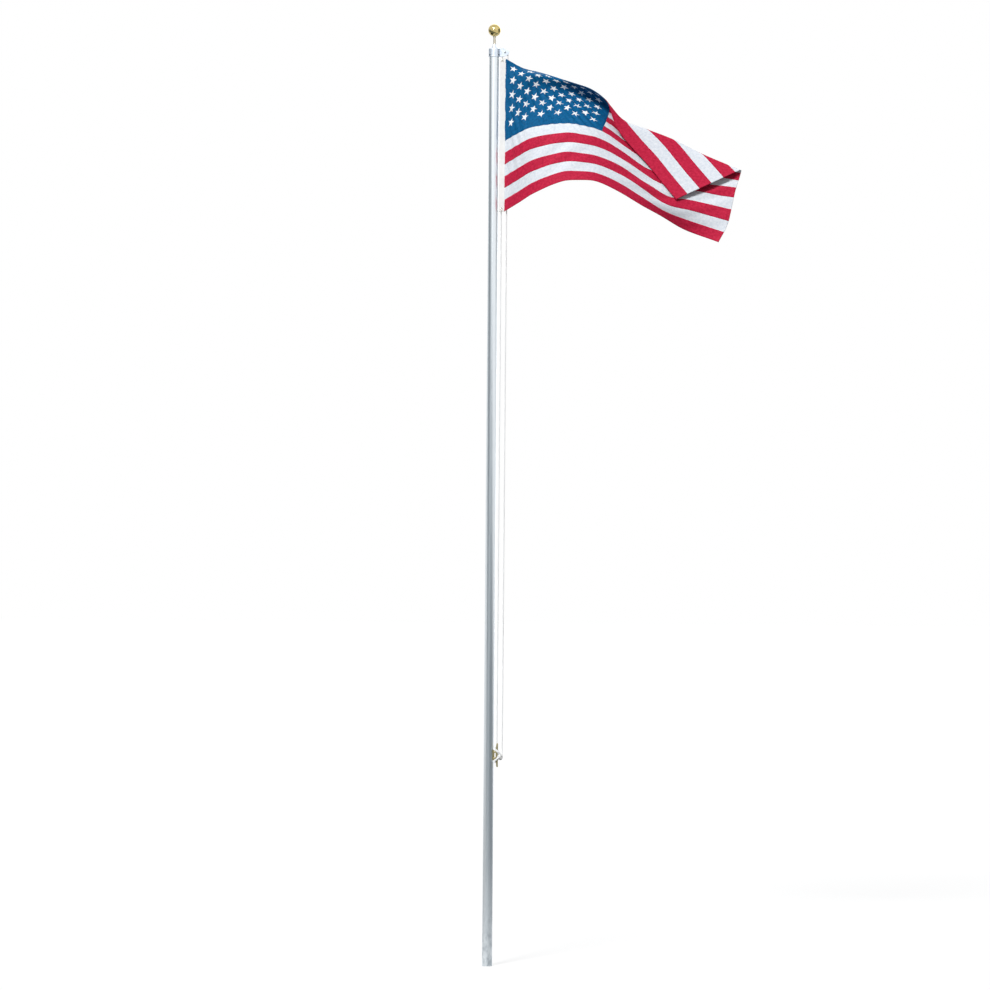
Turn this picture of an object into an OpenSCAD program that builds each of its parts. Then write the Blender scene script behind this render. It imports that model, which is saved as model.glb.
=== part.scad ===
// Flagpole: a two-section aluminium pole with a cap truck, a ball finial, a halyard made fast on a
// cleat, and a striped flag with a starred canton flying from the halyard.
// Millimetres, +Z up, the origin at the centre of the pole's foot, the flag flying towards +X.

/* [Pole] */
// Outside diameter of both pole sections
pole_d = 60.3; // [50:0.1:76]
// Wall of the pole tube
pole_wall = 2; // [1.5:0.1:4]
// Height of the joint between the two sections
joint_z = 2590; // [2200:10:3000]
// Height of the pole's top end
pole_top_z = 5476; // [5200:1:6000]
// Thickness of the closed foot
foot_t = 6; // [3:0.5:12]

/* [Joint sleeve] */
// Length of the sleeve inside the joint
sleeve_len = 300; // [150:10:600]
// Wall of the sleeve
sleeve_wall = 2; // [1.5:0.1:4]
// Radial slip between the sleeve and the pole's bore
sleeve_slip = 0.15; // [0.1:0.05:0.25]

/* [Truck] */
// Wall of the cap's skirt
cap_wall = 4; // [3:0.1:6]
// Thickness of the cap's top
cap_top_t = 4; // [3:0.5:8]
// Height of the whole cap
cap_h = 52; // [40:1:70]
// Radius of the cap's rounded shoulder
cap_shoulder_r = 9; // [4:0.5:12]
// Radial slip between the cap and the pole
cap_slip = 0.15; // [0.1:0.05:0.25]
// Diameter of the boss where it leaves the cap
boss_base_d = 30; // [24:0.5:40]
// Diameter of the boss at its top
boss_top_d = 19; // [17:0.5:24]
// Height of the boss
boss_h = 22; // [15:1:30]
// Reach of the pulley housing from the cap's skirt
nose_reach = 54; // [50:1:65]
// Thickness of each cheek of the pulley housing
cheek_t = 3.5; // [2.5:0.5:6]

/* [Sheave] */
// Radius at which the rope's centre runs on the sheave
pitch_r = 16; // [14:0.5:18]
// Height of the sheave's flanges above the rope's centre line
flange_h = 2; // [1:0.5:3]
// Width of the sheave
sheave_w = 10; // [9:0.5:14]
// Distance from the cap's skirt to the sheave's centre
sheave_stand = 29.7; // [26:0.1:34]
// Diameter of the sheave's pin
pin_d = 8; // [6:0.5:10]
// Radial running clearance on the pin
pin_slip = 0.05; // [0.02:0.01:0.08]
// Gap between the sheave and each cheek
sheave_side_gap = 1; // [0.5:0.25:2]

/* [Finial] */
// Diameter of the ball
ball_d = 76; // [50:1:100]
// Diameter of the stem
stem_d = 15; // [12:0.5:17]
// Length of the stem between the boss and the ball
stem_len = 47; // [30:1:70]
// Diameter of the stem's spindle inside the boss and the ball
spindle_d = 9.5; // [8:0.5:10]
// Depth of the spindle in the boss and in the ball
spindle_depth = 16; // [10:1:20]

/* [Cleat] */
// Height of the cleat's centre
cleat_z = 1260; // [1100:10:1300]
// Turn of the cleat about the pole, towards the front
cleat_turn = 25; // [0:1:40]
// Length of the cleat from horn tip to horn tip
cleat_len = 143; // [130:1:170]
// Diameter of the horn bar at its middle
horn_d = 14; // [12:0.5:16]
// Diameter of the horn bar's round tips
horn_tip_d = 9; // [7:0.5:10]
// Distance from the pole's face to the horn bar's centre line
horn_stand = 23; // [21:0.5:30]
// Diameter of each leg
leg_d = 12; // [9:0.5:13]
// Distance between the two legs
leg_gap = 36; // [32:1:44]
// Height of the foot pad against the pole
pad_h = 62; // [54:1:80]
// Width of the foot pad
pad_w = 20; // [16:1:26]
// Thickness of the foot pad over the pole's face
pad_t = 5; // [3:0.5:8]

/* [Halyard] */
// Diameter of the rope
rope_d = 6.4; // [5:0.1:6.8]
// Clearance between the rope and what it runs in
rope_slip = 0.3; // [0.2:0.1:0.5]
// Height above the cleat's centre where the falls turn in to it
lead_h = 130; // [110:5:200]

/* [Flag] */
// Height of the heading
heading_h = 914; // [800:1:1000]
// Width of the heading
heading_w = 36; // [30:1:40]
// Thickness of the heading
heading_t = 2; // [1.5:0.1:3]
// Distance from the rope's centre to the middle of the heading
heading_stand = 18; // [17:0.5:22]
// Gap between the pulley housing and the heading's top
heading_drop = 11; // [10:0.5:30]
// Length of the cloth from the heading to the fly
fly_len = 1524; // [1200:1:1800]
// Width of the canton
canton_w = 690; // [500:1:760]
// Number of stripes
stripe_count = 13; // [13]
// Number of stripes that the canton spans
canton_stripes = 7; // [7]
// Thickness of the cloth
cloth_t = 1; // [0.8:0.1:2]
// Gap left at each seam
seam_gap = 0.3; // [0.2:0.05:0.5]
// Distance along the top edge where the corner starts to fold over
fold_start = 690; // [690:10:1000]
// Distance down the fly edge where the fold ends
fold_drop = 400; // [350:10:480]
// Radius of the rolled fold
fold_r = 12; // [10:1:45]

/* [Flag hardware] */
// Diameter of a grommet's hole
grommet_hole_d = 9.5; // [8:0.5:11]
// Diameter of a grommet's flange
grommet_d = 18; // [16:0.5:24]
// Wall of a grommet's barrel
grommet_wall = 1.2; // [0.8:0.1:2]
// Thickness of a grommet's flange
grommet_t = 0.8; // [0.5:0.1:1.5]
// Radial slip between a grommet's barrel and its hole in the heading
grommet_slip = 0.1; // [0.05:0.05:0.3]
// Distance from the heading's end to a grommet's centre
grommet_inset = 15; // [13:0.5:18]
// Wire diameter of a snap hook
snap_wire_d = 3.4; // [2.5:0.1:4]
// Gap between a snap hook and the heading's end
snap_gap = 2.3; // [1.5:0.1:4]
// Gap between a snap hook and the side of the grommet that it bears on
snap_seat = 0.4; // [0.3:0.1:0.6]

/* [Hidden] */
$fn = 64;
// How much a cut runs past the faces it cuts
over = 1;
pole_r = pole_d / 2;
bore_r = pole_r - pole_wall;
rope_r = rope_d / 2;

// Truck, sheave and finial, from the pole's top up
cap_bore_r = pole_r + cap_slip;
cap_r = cap_bore_r + cap_wall;
cap_top_z = pole_top_z + cap_top_t;
cap_rim_z = cap_top_z - cap_h;
boss_top_z = cap_top_z + boss_h;
nose_z = cap_rim_z + cap_h / 2;
nose_gap = sheave_w + 2 * sheave_side_gap;
nose_w = nose_gap + 2 * cheek_t;
nose_steps = 24;
pin_r = pin_d / 2;
pin_hole_r = pin_r + pin_slip;
sheave_x = cap_r + sheave_stand;
ball_r = ball_d / 2;
stem_r = stem_d / 2;
stem_top_z = boss_top_z + stem_len;
ball_z = stem_top_z + sqrt(ball_r * ball_r - stem_r * stem_r);
spindle_hole_r = spindle_d / 2 + cap_slip;

// The two falls of the halyard
inner_x = sheave_x - pitch_r;
outer_x = sheave_x + pitch_r;
lead_z = cleat_z + lead_h;

// The cleat, in its own frame: x out from the pole's axis, y round the pole, z up from its centre
horn_x = pole_r + horn_stand;
hitch_r = horn_d / 2 + rope_r + 2 * rope_slip;
hitch_z = leg_gap / 2 + leg_d / 2 + 1.6 * rope_d;
// The hitch starts beside the lower horn, goes once round both horns and leaves across its own front
hitch_start = 50;
hitch_end = 390;
hitch_step = 20;
lead_parts = 6;
rope_sides = 10;

// The hoist: the heading's outer edge and its top corner
heading_x = inner_x - heading_w / 2;
heading_y = -heading_stand;
heading_top_z = cap_rim_z - heading_drop;
heading_bottom_z = heading_top_z - heading_h;
hoist_x = heading_x + heading_w + seam_gap;
grommet_barrel_r = grommet_hole_d / 2 + grommet_wall;
snap_wire_r = snap_wire_d / 2;
snap_bears = grommet_hole_d / 2 - snap_wire_r - snap_seat;
snap_loop_r = (grommet_inset - snap_bears + snap_gap + snap_wire_r) / 2;
snap_inset = snap_loop_r - snap_gap - snap_wire_r;
snap_eye_r = rope_r + rope_slip + snap_wire_r;

// The cloth's shape in the wind: guide lines along it, the first on its top edge and the ridge of its
// fold, the last on its bottom edge, and the others at shares of the way between. Each point is its
// distance along the flat cloth, then its place from the hoist's top corner: out along the fly, back
// from the heading's plane, and down. They are for a cloth of the flat sizes.
stripe_h = heading_h / stripe_count;
canton_h = canton_stripes * stripe_h;
flat_fly = 1524;
flat_hoist = 914;
guide_shares = [0, 0.12, 0.2, 0.37, 0.54, 0.78, 1];
ridge_guide = [
    [0, 0, 0, 0], [116, 103, 30, 54], [232, 212, 45, 80], [460, 430, -20, 151],
    [575, 515, -38, 183], [690, 594, -38, 240], [836, 704, 0, 357], [1000, 850, 25, 412],
    [1141, 1003, 40, 468], [1300, 1180, 45, 554], [1524, 1420, 48, 652]
];
brow_guide = [
    [0, 0, 0, 110], [116, 98, -40, 98], [232, 203, -25, 106], [460, 420, 38, 170],
    [575, 518, 38, 204], [690, 614, 38, 262], [836, 736, 75, 394], [1000, 860, 80, 450],
    [1141, 1006, 82, 514], [1300, 1178, 80, 596], [1524, 1408, 68, 694]
];
pocket_guide = [
    [0, 0, 0, 183], [116, 92, -35, 165], [232, 190, 10, 153], [460, 407, 98, 206],
    [575, 514, 102, 240], [690, 625, 100, 297], [836, 742, 105, 418], [1000, 864, 94, 484],
    [1141, 1005, 86, 548], [1300, 1172, 76, 626], [1524, 1400, 60, 720]
];
shelf_guide = [
    [0, 0, 0, 338], [116, 82, -50, 306], [232, 177, -45, 288], [460, 382, -28, 282],
    [575, 493, -20, 316], [690, 604, -5, 366], [836, 724, 38, 472], [1000, 862, 55, 565],
    [1141, 1002, 55, 625], [1300, 1163, 52, 698], [1524, 1381, 45, 776]
];
seam_guide = [
    [0, 0, 0, 494], [116, 73, -68, 455], [232, 160, -112, 418], [460, 366, -122, 394],
    [575, 472, -118, 408], [690, 578, -95, 437], [836, 713, -35, 538], [1000, 857, 5, 652],
    [1141, 991, 25, 722], [1300, 1147, 35, 775], [1524, 1363, 40, 861]
];
fall_guide = [
    [0, 0, 0, 713], [116, 79, -80, 669], [232, 164, -140, 623], [460, 352, -175, 575],
    [575, 458, -168, 580], [690, 566, -148, 600], [836, 702, -105, 668], [1000, 846, -60, 770],
    [1141, 967, -25, 856], [1300, 1120, 0, 903], [1524, 1333, 25, 985]
];
bottom_guide = [
    [0, 0, 0, 914], [116, 86, -90, 866], [232, 172, -160, 814], [460, 340, -212, 744],
    [575, 441, -208, 735], [690, 544, -192, 741], [836, 675, -142, 796], [1000, 816, -80, 874],
    [1141, 940, 0, 936], [1300, 1076, 55, 1010], [1524, 1280, 10, 1086]
];
guides = [ridge_guide, brow_guide, pocket_guide, shelf_guide, seam_guide, fall_guide, bottom_guide];
// Direction in which the folded corner hangs, across and up, and its lean where it leaves the fold
flap_up = unit([0.67, 0.17, 0.72]);
flap_front = unit([0, -1, 0] + flap_up[1] * flap_up);
flap_lean = 70;
cloth_step = 26;
stripe_rows = 3;

// Colours
aluminium = "#c3ced4";
cast_aluminium = "#b9c8dc";
gold = "#d9b24a";
sheave_grey = "#8a9096";
rope_white = "#f1f1ec";
brass = "#b9a05f";
flag_red = "#c41e3f";
flag_white = "#f2f4f8";
flag_blue = "#0f5f98";

// Points and lines

function unit(v) = v / norm(v);

// Index of the guide segment that holds a distance along the cloth
function segment(guide, u, i = 0) = i >= len(guide) - 2 || u < guide[i + 1][0] ? i : segment(guide, u, i + 1);

function slope(guide, i) =
    let (a = guide[max(i - 1, 0)], b = guide[min(i + 1, len(guide) - 1)])
    [for (k = [1:3]) (b[k] - a[k]) / (b[0] - a[0])];

// A guide's place at a distance along the cloth, on a smooth curve through its points
function along(guide, u) =
    let (
        i = segment(guide, u),
        h = guide[i + 1][0] - guide[i][0],
        t = (u - guide[i][0]) / h,
        m0 = slope(guide, i) * h,
        m1 = slope(guide, i + 1) * h
    )
    [for (k = [0:2])
        (2 * t ^ 3 - 3 * t ^ 2 + 1) * guide[i][k + 1] + (t ^ 3 - 2 * t ^ 2 + t) * m0[k]
        + (3 * t ^ 2 - 2 * t ^ 3) * guide[i + 1][k + 1] + (t ^ 3 - t ^ 2) * m1[k]];

// A guide's place in the part's frame, stretched to the cloth's own length and height
function guide_point(guide, u) =
    let (p = along(guide, u * flat_fly / fly_len), across = fly_len / flat_fly, down = heading_h / flat_hoist)
    [hoist_x + p[0] * across, heading_y + p[1] * across, heading_top_z - p[2] * down];

// Height on the flat cloth, from the top, of the fold line
fold_angle = atan2(fold_drop, fly_len - fold_start);
function fold_v(u) = max(0, (u - fold_start) * tan(fold_angle));

// The cloth below the fold: a smooth bend through the guides
function main_cloth(u, v) =
    let (
        v0 = fold_v(u),
        line = [for (i = [0:len(guides) - 1]) concat([guide_shares[i]], guide_point(guides[i], u))]
    )
    along(line, (v - v0) / (heading_h - v0));

// The corner past the fold: it rolls over the fold line and hangs down in front
function flap_cloth(u, v, d) =
    let (
        ridge = guide_point(ridge_guide, u - d * sin(fold_angle)),
        roll = fold_r * (180 - flap_lean) * PI / 180,
        turn = flap_lean + min(d, roll) / fold_r * 180 / PI,
        rise = fold_r * (sin(turn) - sin(flap_lean)) - max(0, d - roll),
        forward = fold_r * (cos(flap_lean) - cos(turn))
    )
    ridge + rise * flap_up + forward * flap_front;

function cloth(u, v) =
    let (d = (fold_v(u) - v) * cos(fold_angle))
    d > 0 ? flap_cloth(u, v, d) : main_cloth(u, v);

function cloth_normal(u, v) =
    let (e = 2)
    unit(cross(cloth(u + e, v) - cloth(u - e, v), cloth(u, v + e) - cloth(u, v - e)));

function steps(a, b, n) = [for (i = [0:n]) a + (b - a) * i / n];

// The points of a line with a point on a smooth curve added between each two neighbours
function smooth_line(p) = [
    for (i = [0:len(p) - 2])
        let (a = p[max(i - 1, 0)], b = p[i], c = p[i + 1], d = p[min(i + 2, len(p) - 1)])
        each [b, (9 * (b + c) - a - d) / 16],
    p[len(p) - 1]
];

// A panel of cloth between two distances along the fly and two heights, as one thin solid
module cloth_panel(u0, u1, v0, v1, rows) {
    columns = ceil((u1 - u0) / cloth_step);
    us = steps(u0, u1, columns);
    vs = steps(v0, v1, rows);
    n = rows + 1;
    half = (columns + 1) * n;
    sides = [for (side = [1, -1]) for (u = us) for (v = vs)
        cloth(u, v) + side * cloth_t / 2 * cloth_normal(u, v)];
    back = [for (i = [0:columns - 1]) for (j = [0:rows - 1]) let (a = i * n + j, b = a + n)
        each [[a, a + 1, b + 1], [a, b + 1, b]]];
    front = [for (f = back) [f[2] + half, f[1] + half, f[0] + half]];
    top_rim = [for (i = [0:columns - 1]) let (a = i * n, b = a + n)
        each [[a + half, a, b], [a + half, b, b + half]]];
    bottom_rim = [for (i = [0:columns - 1]) let (a = i * n + rows, b = a + n)
        each [[a + half, b + half, b], [a + half, b, a]]];
    hoist_rim = [for (j = [0:rows - 1]) let (a = j)
        each [[a + half, a + 1 + half, a + 1], [a + half, a + 1, a]]];
    fly_rim = [for (j = [0:rows - 1]) let (a = columns * n + j)
        each [[a + half, a, a + 1], [a + half, a + 1, a + 1 + half]]];
    polyhedron(sides, concat(back, front, top_rim, bottom_rim, hoist_rim, fly_rim));
}

// A round rope swept along a line of points
module swept_rope(line) {
    last = len(line) - 1;
    tangents = [for (i = [0:last]) unit(line[min(i + 1, last)] - line[max(i - 1, 0)])];
    first = unit(cross(tangents[0], [1, 0, 0]));
    normals = [for (i = 0, n = first; i <= last;
        i = i + 1, n = i <= last ? unit(n - (n * tangents[i]) * tangents[i]) : n) n];
    points = [for (i = [0:last]) for (j = [0:rope_sides - 1])
        let (a = 360 * j / rope_sides)
        line[i] + rope_r * (cos(a) * normals[i] + sin(a) * cross(tangents[i], normals[i]))];
    wall = [for (i = [0:last - 1]) for (j = [0:rope_sides - 1])
        let (a = i * rope_sides, b = a + rope_sides, k = (j + 1) % rope_sides)
        each [[b + j, b + k, a + k], [b + j, a + k, a + j]]];
    start_cap = [[for (j = [0:rope_sides - 1]) j]];
    end_cap = [[for (j = [0:rope_sides - 1]) last * rope_sides + rope_sides - 1 - j]];
    polyhedron(points, concat(wall, start_cap, end_cap));
}

module tube(r, wall, h) {
    difference() {
        cylinder(r = r, h = h);
        translate([0, 0, -over]) cylinder(r = r - wall, h = h + 2 * over);
    }
}

module ring(r, wire_r) {
    rotate_extrude() translate([r, 0]) circle(r = wire_r);
}

// The pole

module lower_section() {
    color(aluminium) difference() {
        cylinder(r = pole_r, h = joint_z);
        translate([0, 0, foot_t]) cylinder(r = bore_r, h = joint_z);
    }
}

module upper_section() {
    color(aluminium) translate([0, 0, joint_z]) tube(pole_r, pole_wall, pole_top_z - joint_z);
}

module joint_sleeve() {
    color(aluminium) translate([0, 0, joint_z - sleeve_len / 2])
        tube(bore_r - sleeve_slip, sleeve_wall, sleeve_len);
}

// The truck and its sheave

// The pulley housing's outline seen from the side: half an ellipse that grows out of the cap
module nose_outline() {
    polygon(concat(
        [[0, -cap_h / 2]],
        [for (i = [0:nose_steps]) let (a = -90 + 180 * i / nose_steps)
            [cap_r + nose_reach * cos(a), cap_h / 2 * sin(a)]],
        [[0, cap_h / 2]]
    ));
}

module cap_solid() {
    shoulder_x = cap_r - cap_shoulder_r;
    rotate_extrude() {
        square([shoulder_x, cap_h]);
        square([cap_r, cap_h - cap_shoulder_r]);
        translate([shoulder_x, cap_h - cap_shoulder_r]) intersection() {
            circle(r = cap_shoulder_r);
            square(cap_shoulder_r);
        }
    }
}

module truck() {
    color(cast_aluminium) difference() {
        union() {
            translate([0, 0, cap_rim_z]) cap_solid();
            translate([0, 0, cap_top_z - over])
                cylinder(d1 = boss_base_d, d2 = boss_top_d, h = boss_h + over);
            translate([0, nose_w / 2, nose_z]) rotate([90, 0, 0])
                linear_extrude(nose_w) nose_outline();
        }
        translate([0, 0, cap_rim_z - over]) cylinder(r = cap_bore_r, h = pole_top_z - cap_rim_z + over);
        translate([cap_r, -nose_gap / 2, cap_rim_z - over])
            cube([nose_reach + over, nose_gap, cap_h + 2 * over]);
        translate([sheave_x, nose_w / 2 + over, nose_z]) rotate([90, 0, 0])
            cylinder(r = pin_hole_r, h = nose_w + 2 * over);
        translate([0, 0, boss_top_z - spindle_depth]) cylinder(r = spindle_hole_r, h = spindle_depth + over);
    }
}

module sheave_pin() {
    color(sheave_grey) translate([sheave_x, nose_w / 2, nose_z]) rotate([90, 0, 0])
        cylinder(r = pin_r, h = nose_w);
}

module sheave() {
    color(sheave_grey) translate([sheave_x, 0, nose_z]) rotate([90, 0, 0]) rotate_extrude()
        difference() {
            translate([pin_hole_r, -sheave_w / 2]) square([pitch_r + flange_h - pin_hole_r, sheave_w]);
            translate([pitch_r, 0]) circle(r = rope_r + rope_slip);
            translate([pitch_r, -rope_r - rope_slip]) square([flange_h + over, rope_d + 2 * rope_slip]);
        }
}

// The finial

module finial_stem() {
    color(gold) {
        translate([0, 0, boss_top_z]) cylinder(r = stem_r, h = stem_len);
        translate([0, 0, boss_top_z - spindle_depth])
            cylinder(d = spindle_d, h = stem_len + 2 * spindle_depth);
    }
}

module finial_ball() {
    color(gold) difference() {
        translate([0, 0, ball_z]) sphere(r = ball_r);
        translate([-ball_r, -ball_r, stem_top_z - ball_r]) cube([ball_d, ball_d, ball_r]);
        translate([0, 0, stem_top_z - over]) cylinder(r = spindle_hole_r, h = spindle_depth + over);
    }
}

// The cleat and the halyard

module in_cleat_frame() {
    translate([0, 0, cleat_z]) rotate([0, 0, -cleat_turn]) children();
}

// Half of the horn bar's outline: straight taper from the middle to a round tip
module horn_outline() {
    tip_r = horn_tip_d / 2;
    tip_z = cleat_len / 2 - tip_r;
    polygon([[0, 0], [horn_d / 2, 0], [horn_d / 2, leg_gap / 2], [tip_r, tip_z], [0, tip_z]]);
    translate([0, tip_z]) intersection() {
        circle(r = tip_r);
        square(tip_r);
    }
}

module cleat() {
    color(brass) in_cleat_frame() {
        translate([horn_x, 0, 0]) rotate_extrude() {
            horn_outline();
            mirror([0, 1]) horn_outline();
        }
        difference() {
            union() {
                translate([0, -pad_w / 2, -pad_h / 2]) cube([pole_r + pad_t, pad_w, pad_h]);
                for (side = [-1, 1])
                    translate([0, 0, side * leg_gap / 2]) rotate([0, 90, 0]) cylinder(d = leg_d, h = horn_x);
            }
            translate([0, 0, -pad_h / 2 - over]) cylinder(r = pole_r, h = pad_h + 2 * over);
        }
    }
}

module halyard_over_sheave() {
    color(rope_white) translate([sheave_x, 0, nose_z]) rotate([90, 0, 0])
        rotate_extrude(angle = 180) translate([pitch_r, 0]) circle(r = rope_r);
}

module fall(x) {
    color(rope_white) translate([x, 0, lead_z]) cylinder(r = rope_r, h = nose_z - lead_z);
}

module halyard_inner_fall() {
    fall(inner_x);
}

module halyard_outer_fall() {
    fall(outer_x);
}

// A point of the figure of eight round the two horns, in the cleat's frame; its last quarter turn
// rises over its first crossing
function hitch_point(t) =
    let (
        quarter = 90,
        lift = (rope_d + rope_slip) * max(0, t / quarter - 3) * max(0, cos(2 * t))
    )
    [horn_x + hitch_r * cos(2 * t) + lift, hitch_r * sin(2 * t), -hitch_z * sin(t)];

// A point of a fall, in the cleat's frame
function fall_point(x, z) = [x * cos(cleat_turn), x * sin(cleat_turn), z];

module cleat_hitch() {
    start = fall_point(inner_x, lead_h);
    turn_in = fall_point(inner_x, lead_h / 2);
    end = fall_point(outer_x, lead_h);
    turns = [for (t = [hitch_start:hitch_step:hitch_end]) hitch_point(t)];
    leave = turns[len(turns) - 1] + [0, 2 * rope_d, -rope_r];
    turn_up = [end[0], end[1], leave[2] + 2 * rope_d];
    route = concat(
        [start, (start + turn_in) / 2],
        [for (i = [0:lead_parts - 1]) turn_in + (turns[0] - turn_in) * i / lead_parts],
        turns,
        [leave],
        steps(turn_up, end, lead_parts)
    );
    color(rope_white) in_cleat_frame() swept_rope(smooth_line(route));
}

// The flag

module heading() {
    color(flag_white) difference() {
        translate([heading_x, heading_y - heading_t / 2, heading_bottom_z])
            cube([heading_w, heading_t, heading_h]);
        for (z = [heading_top_z - grommet_inset, heading_bottom_z + grommet_inset])
            translate([inner_x, heading_y + heading_t, z]) rotate([90, 0, 0])
                cylinder(r = grommet_barrel_r + grommet_slip, h = 2 * heading_t);
    }
}

// A grommet: a barrel through the heading with a flange on each face
module grommet(z) {
    face = heading_t / 2;
    half = [[grommet_hole_d / 2, face + grommet_t], [grommet_d / 2, face + grommet_t],
        [grommet_d / 2, face], [grommet_barrel_r, face]];
    other_half = [for (i = [3:-1:0]) [half[i][0], -half[i][1]]];
    color(brass) translate([inner_x, heading_y, z]) rotate([90, 0, 0])
        rotate_extrude() polygon(concat(half, other_half));
}

module grommet_top() {
    grommet(heading_top_z - grommet_inset);
}

module grommet_bottom() {
    grommet(heading_bottom_z + grommet_inset);
}

// A snap hook: its loop goes through a grommet and round the heading's end, its eye round the rope
module snap(z) {
    color(brass) {
        translate([inner_x, heading_y, z]) rotate([0, 90, 0]) ring(snap_loop_r, snap_wire_r);
        translate([inner_x, 0, z]) ring(snap_eye_r, snap_wire_r);
        translate([inner_x, (heading_y + snap_loop_r - snap_eye_r) / 2, z]) sphere(r = 1.4 * snap_wire_r);
    }
}

module snap_top() {
    snap(heading_top_z - snap_inset);
}

module snap_bottom() {
    snap(heading_bottom_z + snap_inset);
}

module canton() {
    color(flag_blue) cloth_panel(0, canton_w - seam_gap / 2, 0, canton_h - seam_gap / 2, canton_stripes * 2);
}

module stripe(number) {
    starts = number <= canton_stripes ? canton_w + seam_gap / 2 : 0;
    top = (number - 1) * stripe_h + (number > 1 ? seam_gap / 2 : 0);
    bottom = number * stripe_h - (number < stripe_count ? seam_gap / 2 : 0);
    color(number % 2 == 1 ? flag_red : flag_white) cloth_panel(starts, fly_len, top, bottom, stripe_rows);
}

lower_section();
upper_section();
joint_sleeve();
truck();
sheave_pin();
sheave();
finial_stem();
finial_ball();
cleat();
halyard_over_sheave();
halyard_inner_fall();
halyard_outer_fall();
cleat_hitch();
heading();
grommet_top();
grommet_bottom();
snap_top();
snap_bottom();
canton();
stripe(1);  // stripe_01
stripe(2);  // stripe_02
stripe(3);  // stripe_03
stripe(4);  // stripe_04
stripe(5);  // stripe_05
stripe(6);  // stripe_06
stripe(7);  // stripe_07
stripe(8);  // stripe_08
stripe(9);  // stripe_09
stripe(10);  // stripe_10
stripe(11);  // stripe_11
stripe(12);  // stripe_12
stripe(13);  // stripe_13
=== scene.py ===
"""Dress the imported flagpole: drawn tubes, cast truck, gold finial, cleat, halyard and sewn flag."""

import logging
import math
from dataclasses import dataclass, field
from enum import Enum
from typing import Any, Sequence

import bmesh
import bpy
import numpy as np
from mathutils import Matrix, Vector

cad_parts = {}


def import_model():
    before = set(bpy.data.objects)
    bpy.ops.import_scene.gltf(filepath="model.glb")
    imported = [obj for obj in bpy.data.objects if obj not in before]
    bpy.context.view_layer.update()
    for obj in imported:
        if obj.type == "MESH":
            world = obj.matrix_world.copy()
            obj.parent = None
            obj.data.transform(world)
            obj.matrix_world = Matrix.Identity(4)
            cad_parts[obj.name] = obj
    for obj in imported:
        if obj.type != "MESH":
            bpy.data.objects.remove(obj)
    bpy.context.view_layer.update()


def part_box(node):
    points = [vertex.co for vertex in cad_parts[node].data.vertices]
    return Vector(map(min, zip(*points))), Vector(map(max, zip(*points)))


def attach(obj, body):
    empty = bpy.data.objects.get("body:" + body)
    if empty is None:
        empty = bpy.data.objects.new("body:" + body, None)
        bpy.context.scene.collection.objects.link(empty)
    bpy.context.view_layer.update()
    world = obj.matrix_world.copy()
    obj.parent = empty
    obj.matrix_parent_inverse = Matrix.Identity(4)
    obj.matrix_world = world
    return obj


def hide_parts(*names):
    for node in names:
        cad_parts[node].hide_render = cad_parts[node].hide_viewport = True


LOG = logging.getLogger("flagpole")
# The map of flat coordinates, in metres, that cloth and cord carry for their patterns.
FLAT_MAP = "flat"
# The flag as it is cut, in millimetres, and the stripes that it and its canton span.
FLAG_HOIST = 914.0
FLAG_FLY = 1524.0
CANTON_WIDTH = 690.0
STRIPES = 13
CANTON_STRIPES = 7
STRIPE_DEPTH = FLAG_HOIST / STRIPES
# The rope, the room left about it and the circle that it runs on over the sheave, in millimetres.
ROPE_DIAMETER = 6.4
ROPE_SLIP = 0.3
SHEAVE_PITCH = 16.0

Mesh = bmesh.types.BMesh
Node = bpy.types.Node
Tree = bpy.types.NodeTree
Piece = bpy.types.Object
Pieces = list[Piece]
Link = tuple[Node, str | int]
Pair = tuple[float, float]
Triple = tuple[float, float, float]
Profile = Sequence[Pair]
Guide = tuple[Triple, ...]


class Body(Enum):
    """Bodies of the frame that a piece can ride on."""

    POLE = "pole"
    SHEAVE = "sheave"
    FLAG = "flag"


def mm(value: float) -> float:
    """Turn millimetres into Blender's metres."""
    return value / 1000.0


def box_mm(node: str) -> tuple[Vector, Vector]:
    """Find a node's lowest and highest corners in millimetres."""
    low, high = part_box(node)
    return low * 1000.0, high * 1000.0


def middle_mm(node: str) -> Vector:
    """Find the middle of a node's box in millimetres."""
    low, high = box_mm(node)
    return (low + high) / 2


def linear(colour: str) -> tuple[float, float, float, float]:
    """Turn an sRGB hex colour into linear red, green, blue and full alpha.

    Args:
        colour: six hex digits after a hash sign.

    Returns:
        The colour as a Blender socket takes it.
    """
    shares = [int(colour[i : i + 2], 16) / 255.0 for i in (1, 3, 5)]
    red, green, blue = [s / 12.92 if s <= 0.04045 else ((s + 0.055) / 1.055) ** 2.4 for s in shares]
    return red, green, blue, 1.0


def set_inputs(node: Node, values: dict[str | int, Any]) -> None:
    """Set a node's input sockets, by name or number."""
    for key, value in values.items():
        node.inputs[key].default_value = value


def add_node(
    tree: Tree,
    kind: str,
    settings: dict[str, Any] | None = None,
    values: dict[str | int, Any] | None = None,
    links: dict[str | int, Link] | None = None,
) -> Node:
    """Add a node with its settings, socket values and incoming links.

    Args:
        tree: the node tree it goes into.
        kind: Blender's name for the node's type.
        settings: properties of the node itself.
        values: constants for its input sockets, by name or number.
        links: for an input socket, the node and output that feed it.

    Returns:
        The new node.
    """
    node = tree.nodes.new(kind)
    for key, value in (settings or {}).items():
        setattr(node, key, value)
    set_inputs(node, values or {})
    for key, (source, output) in (links or {}).items():
        tree.links.new(source.outputs[output], node.inputs[key])
    return node


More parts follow.
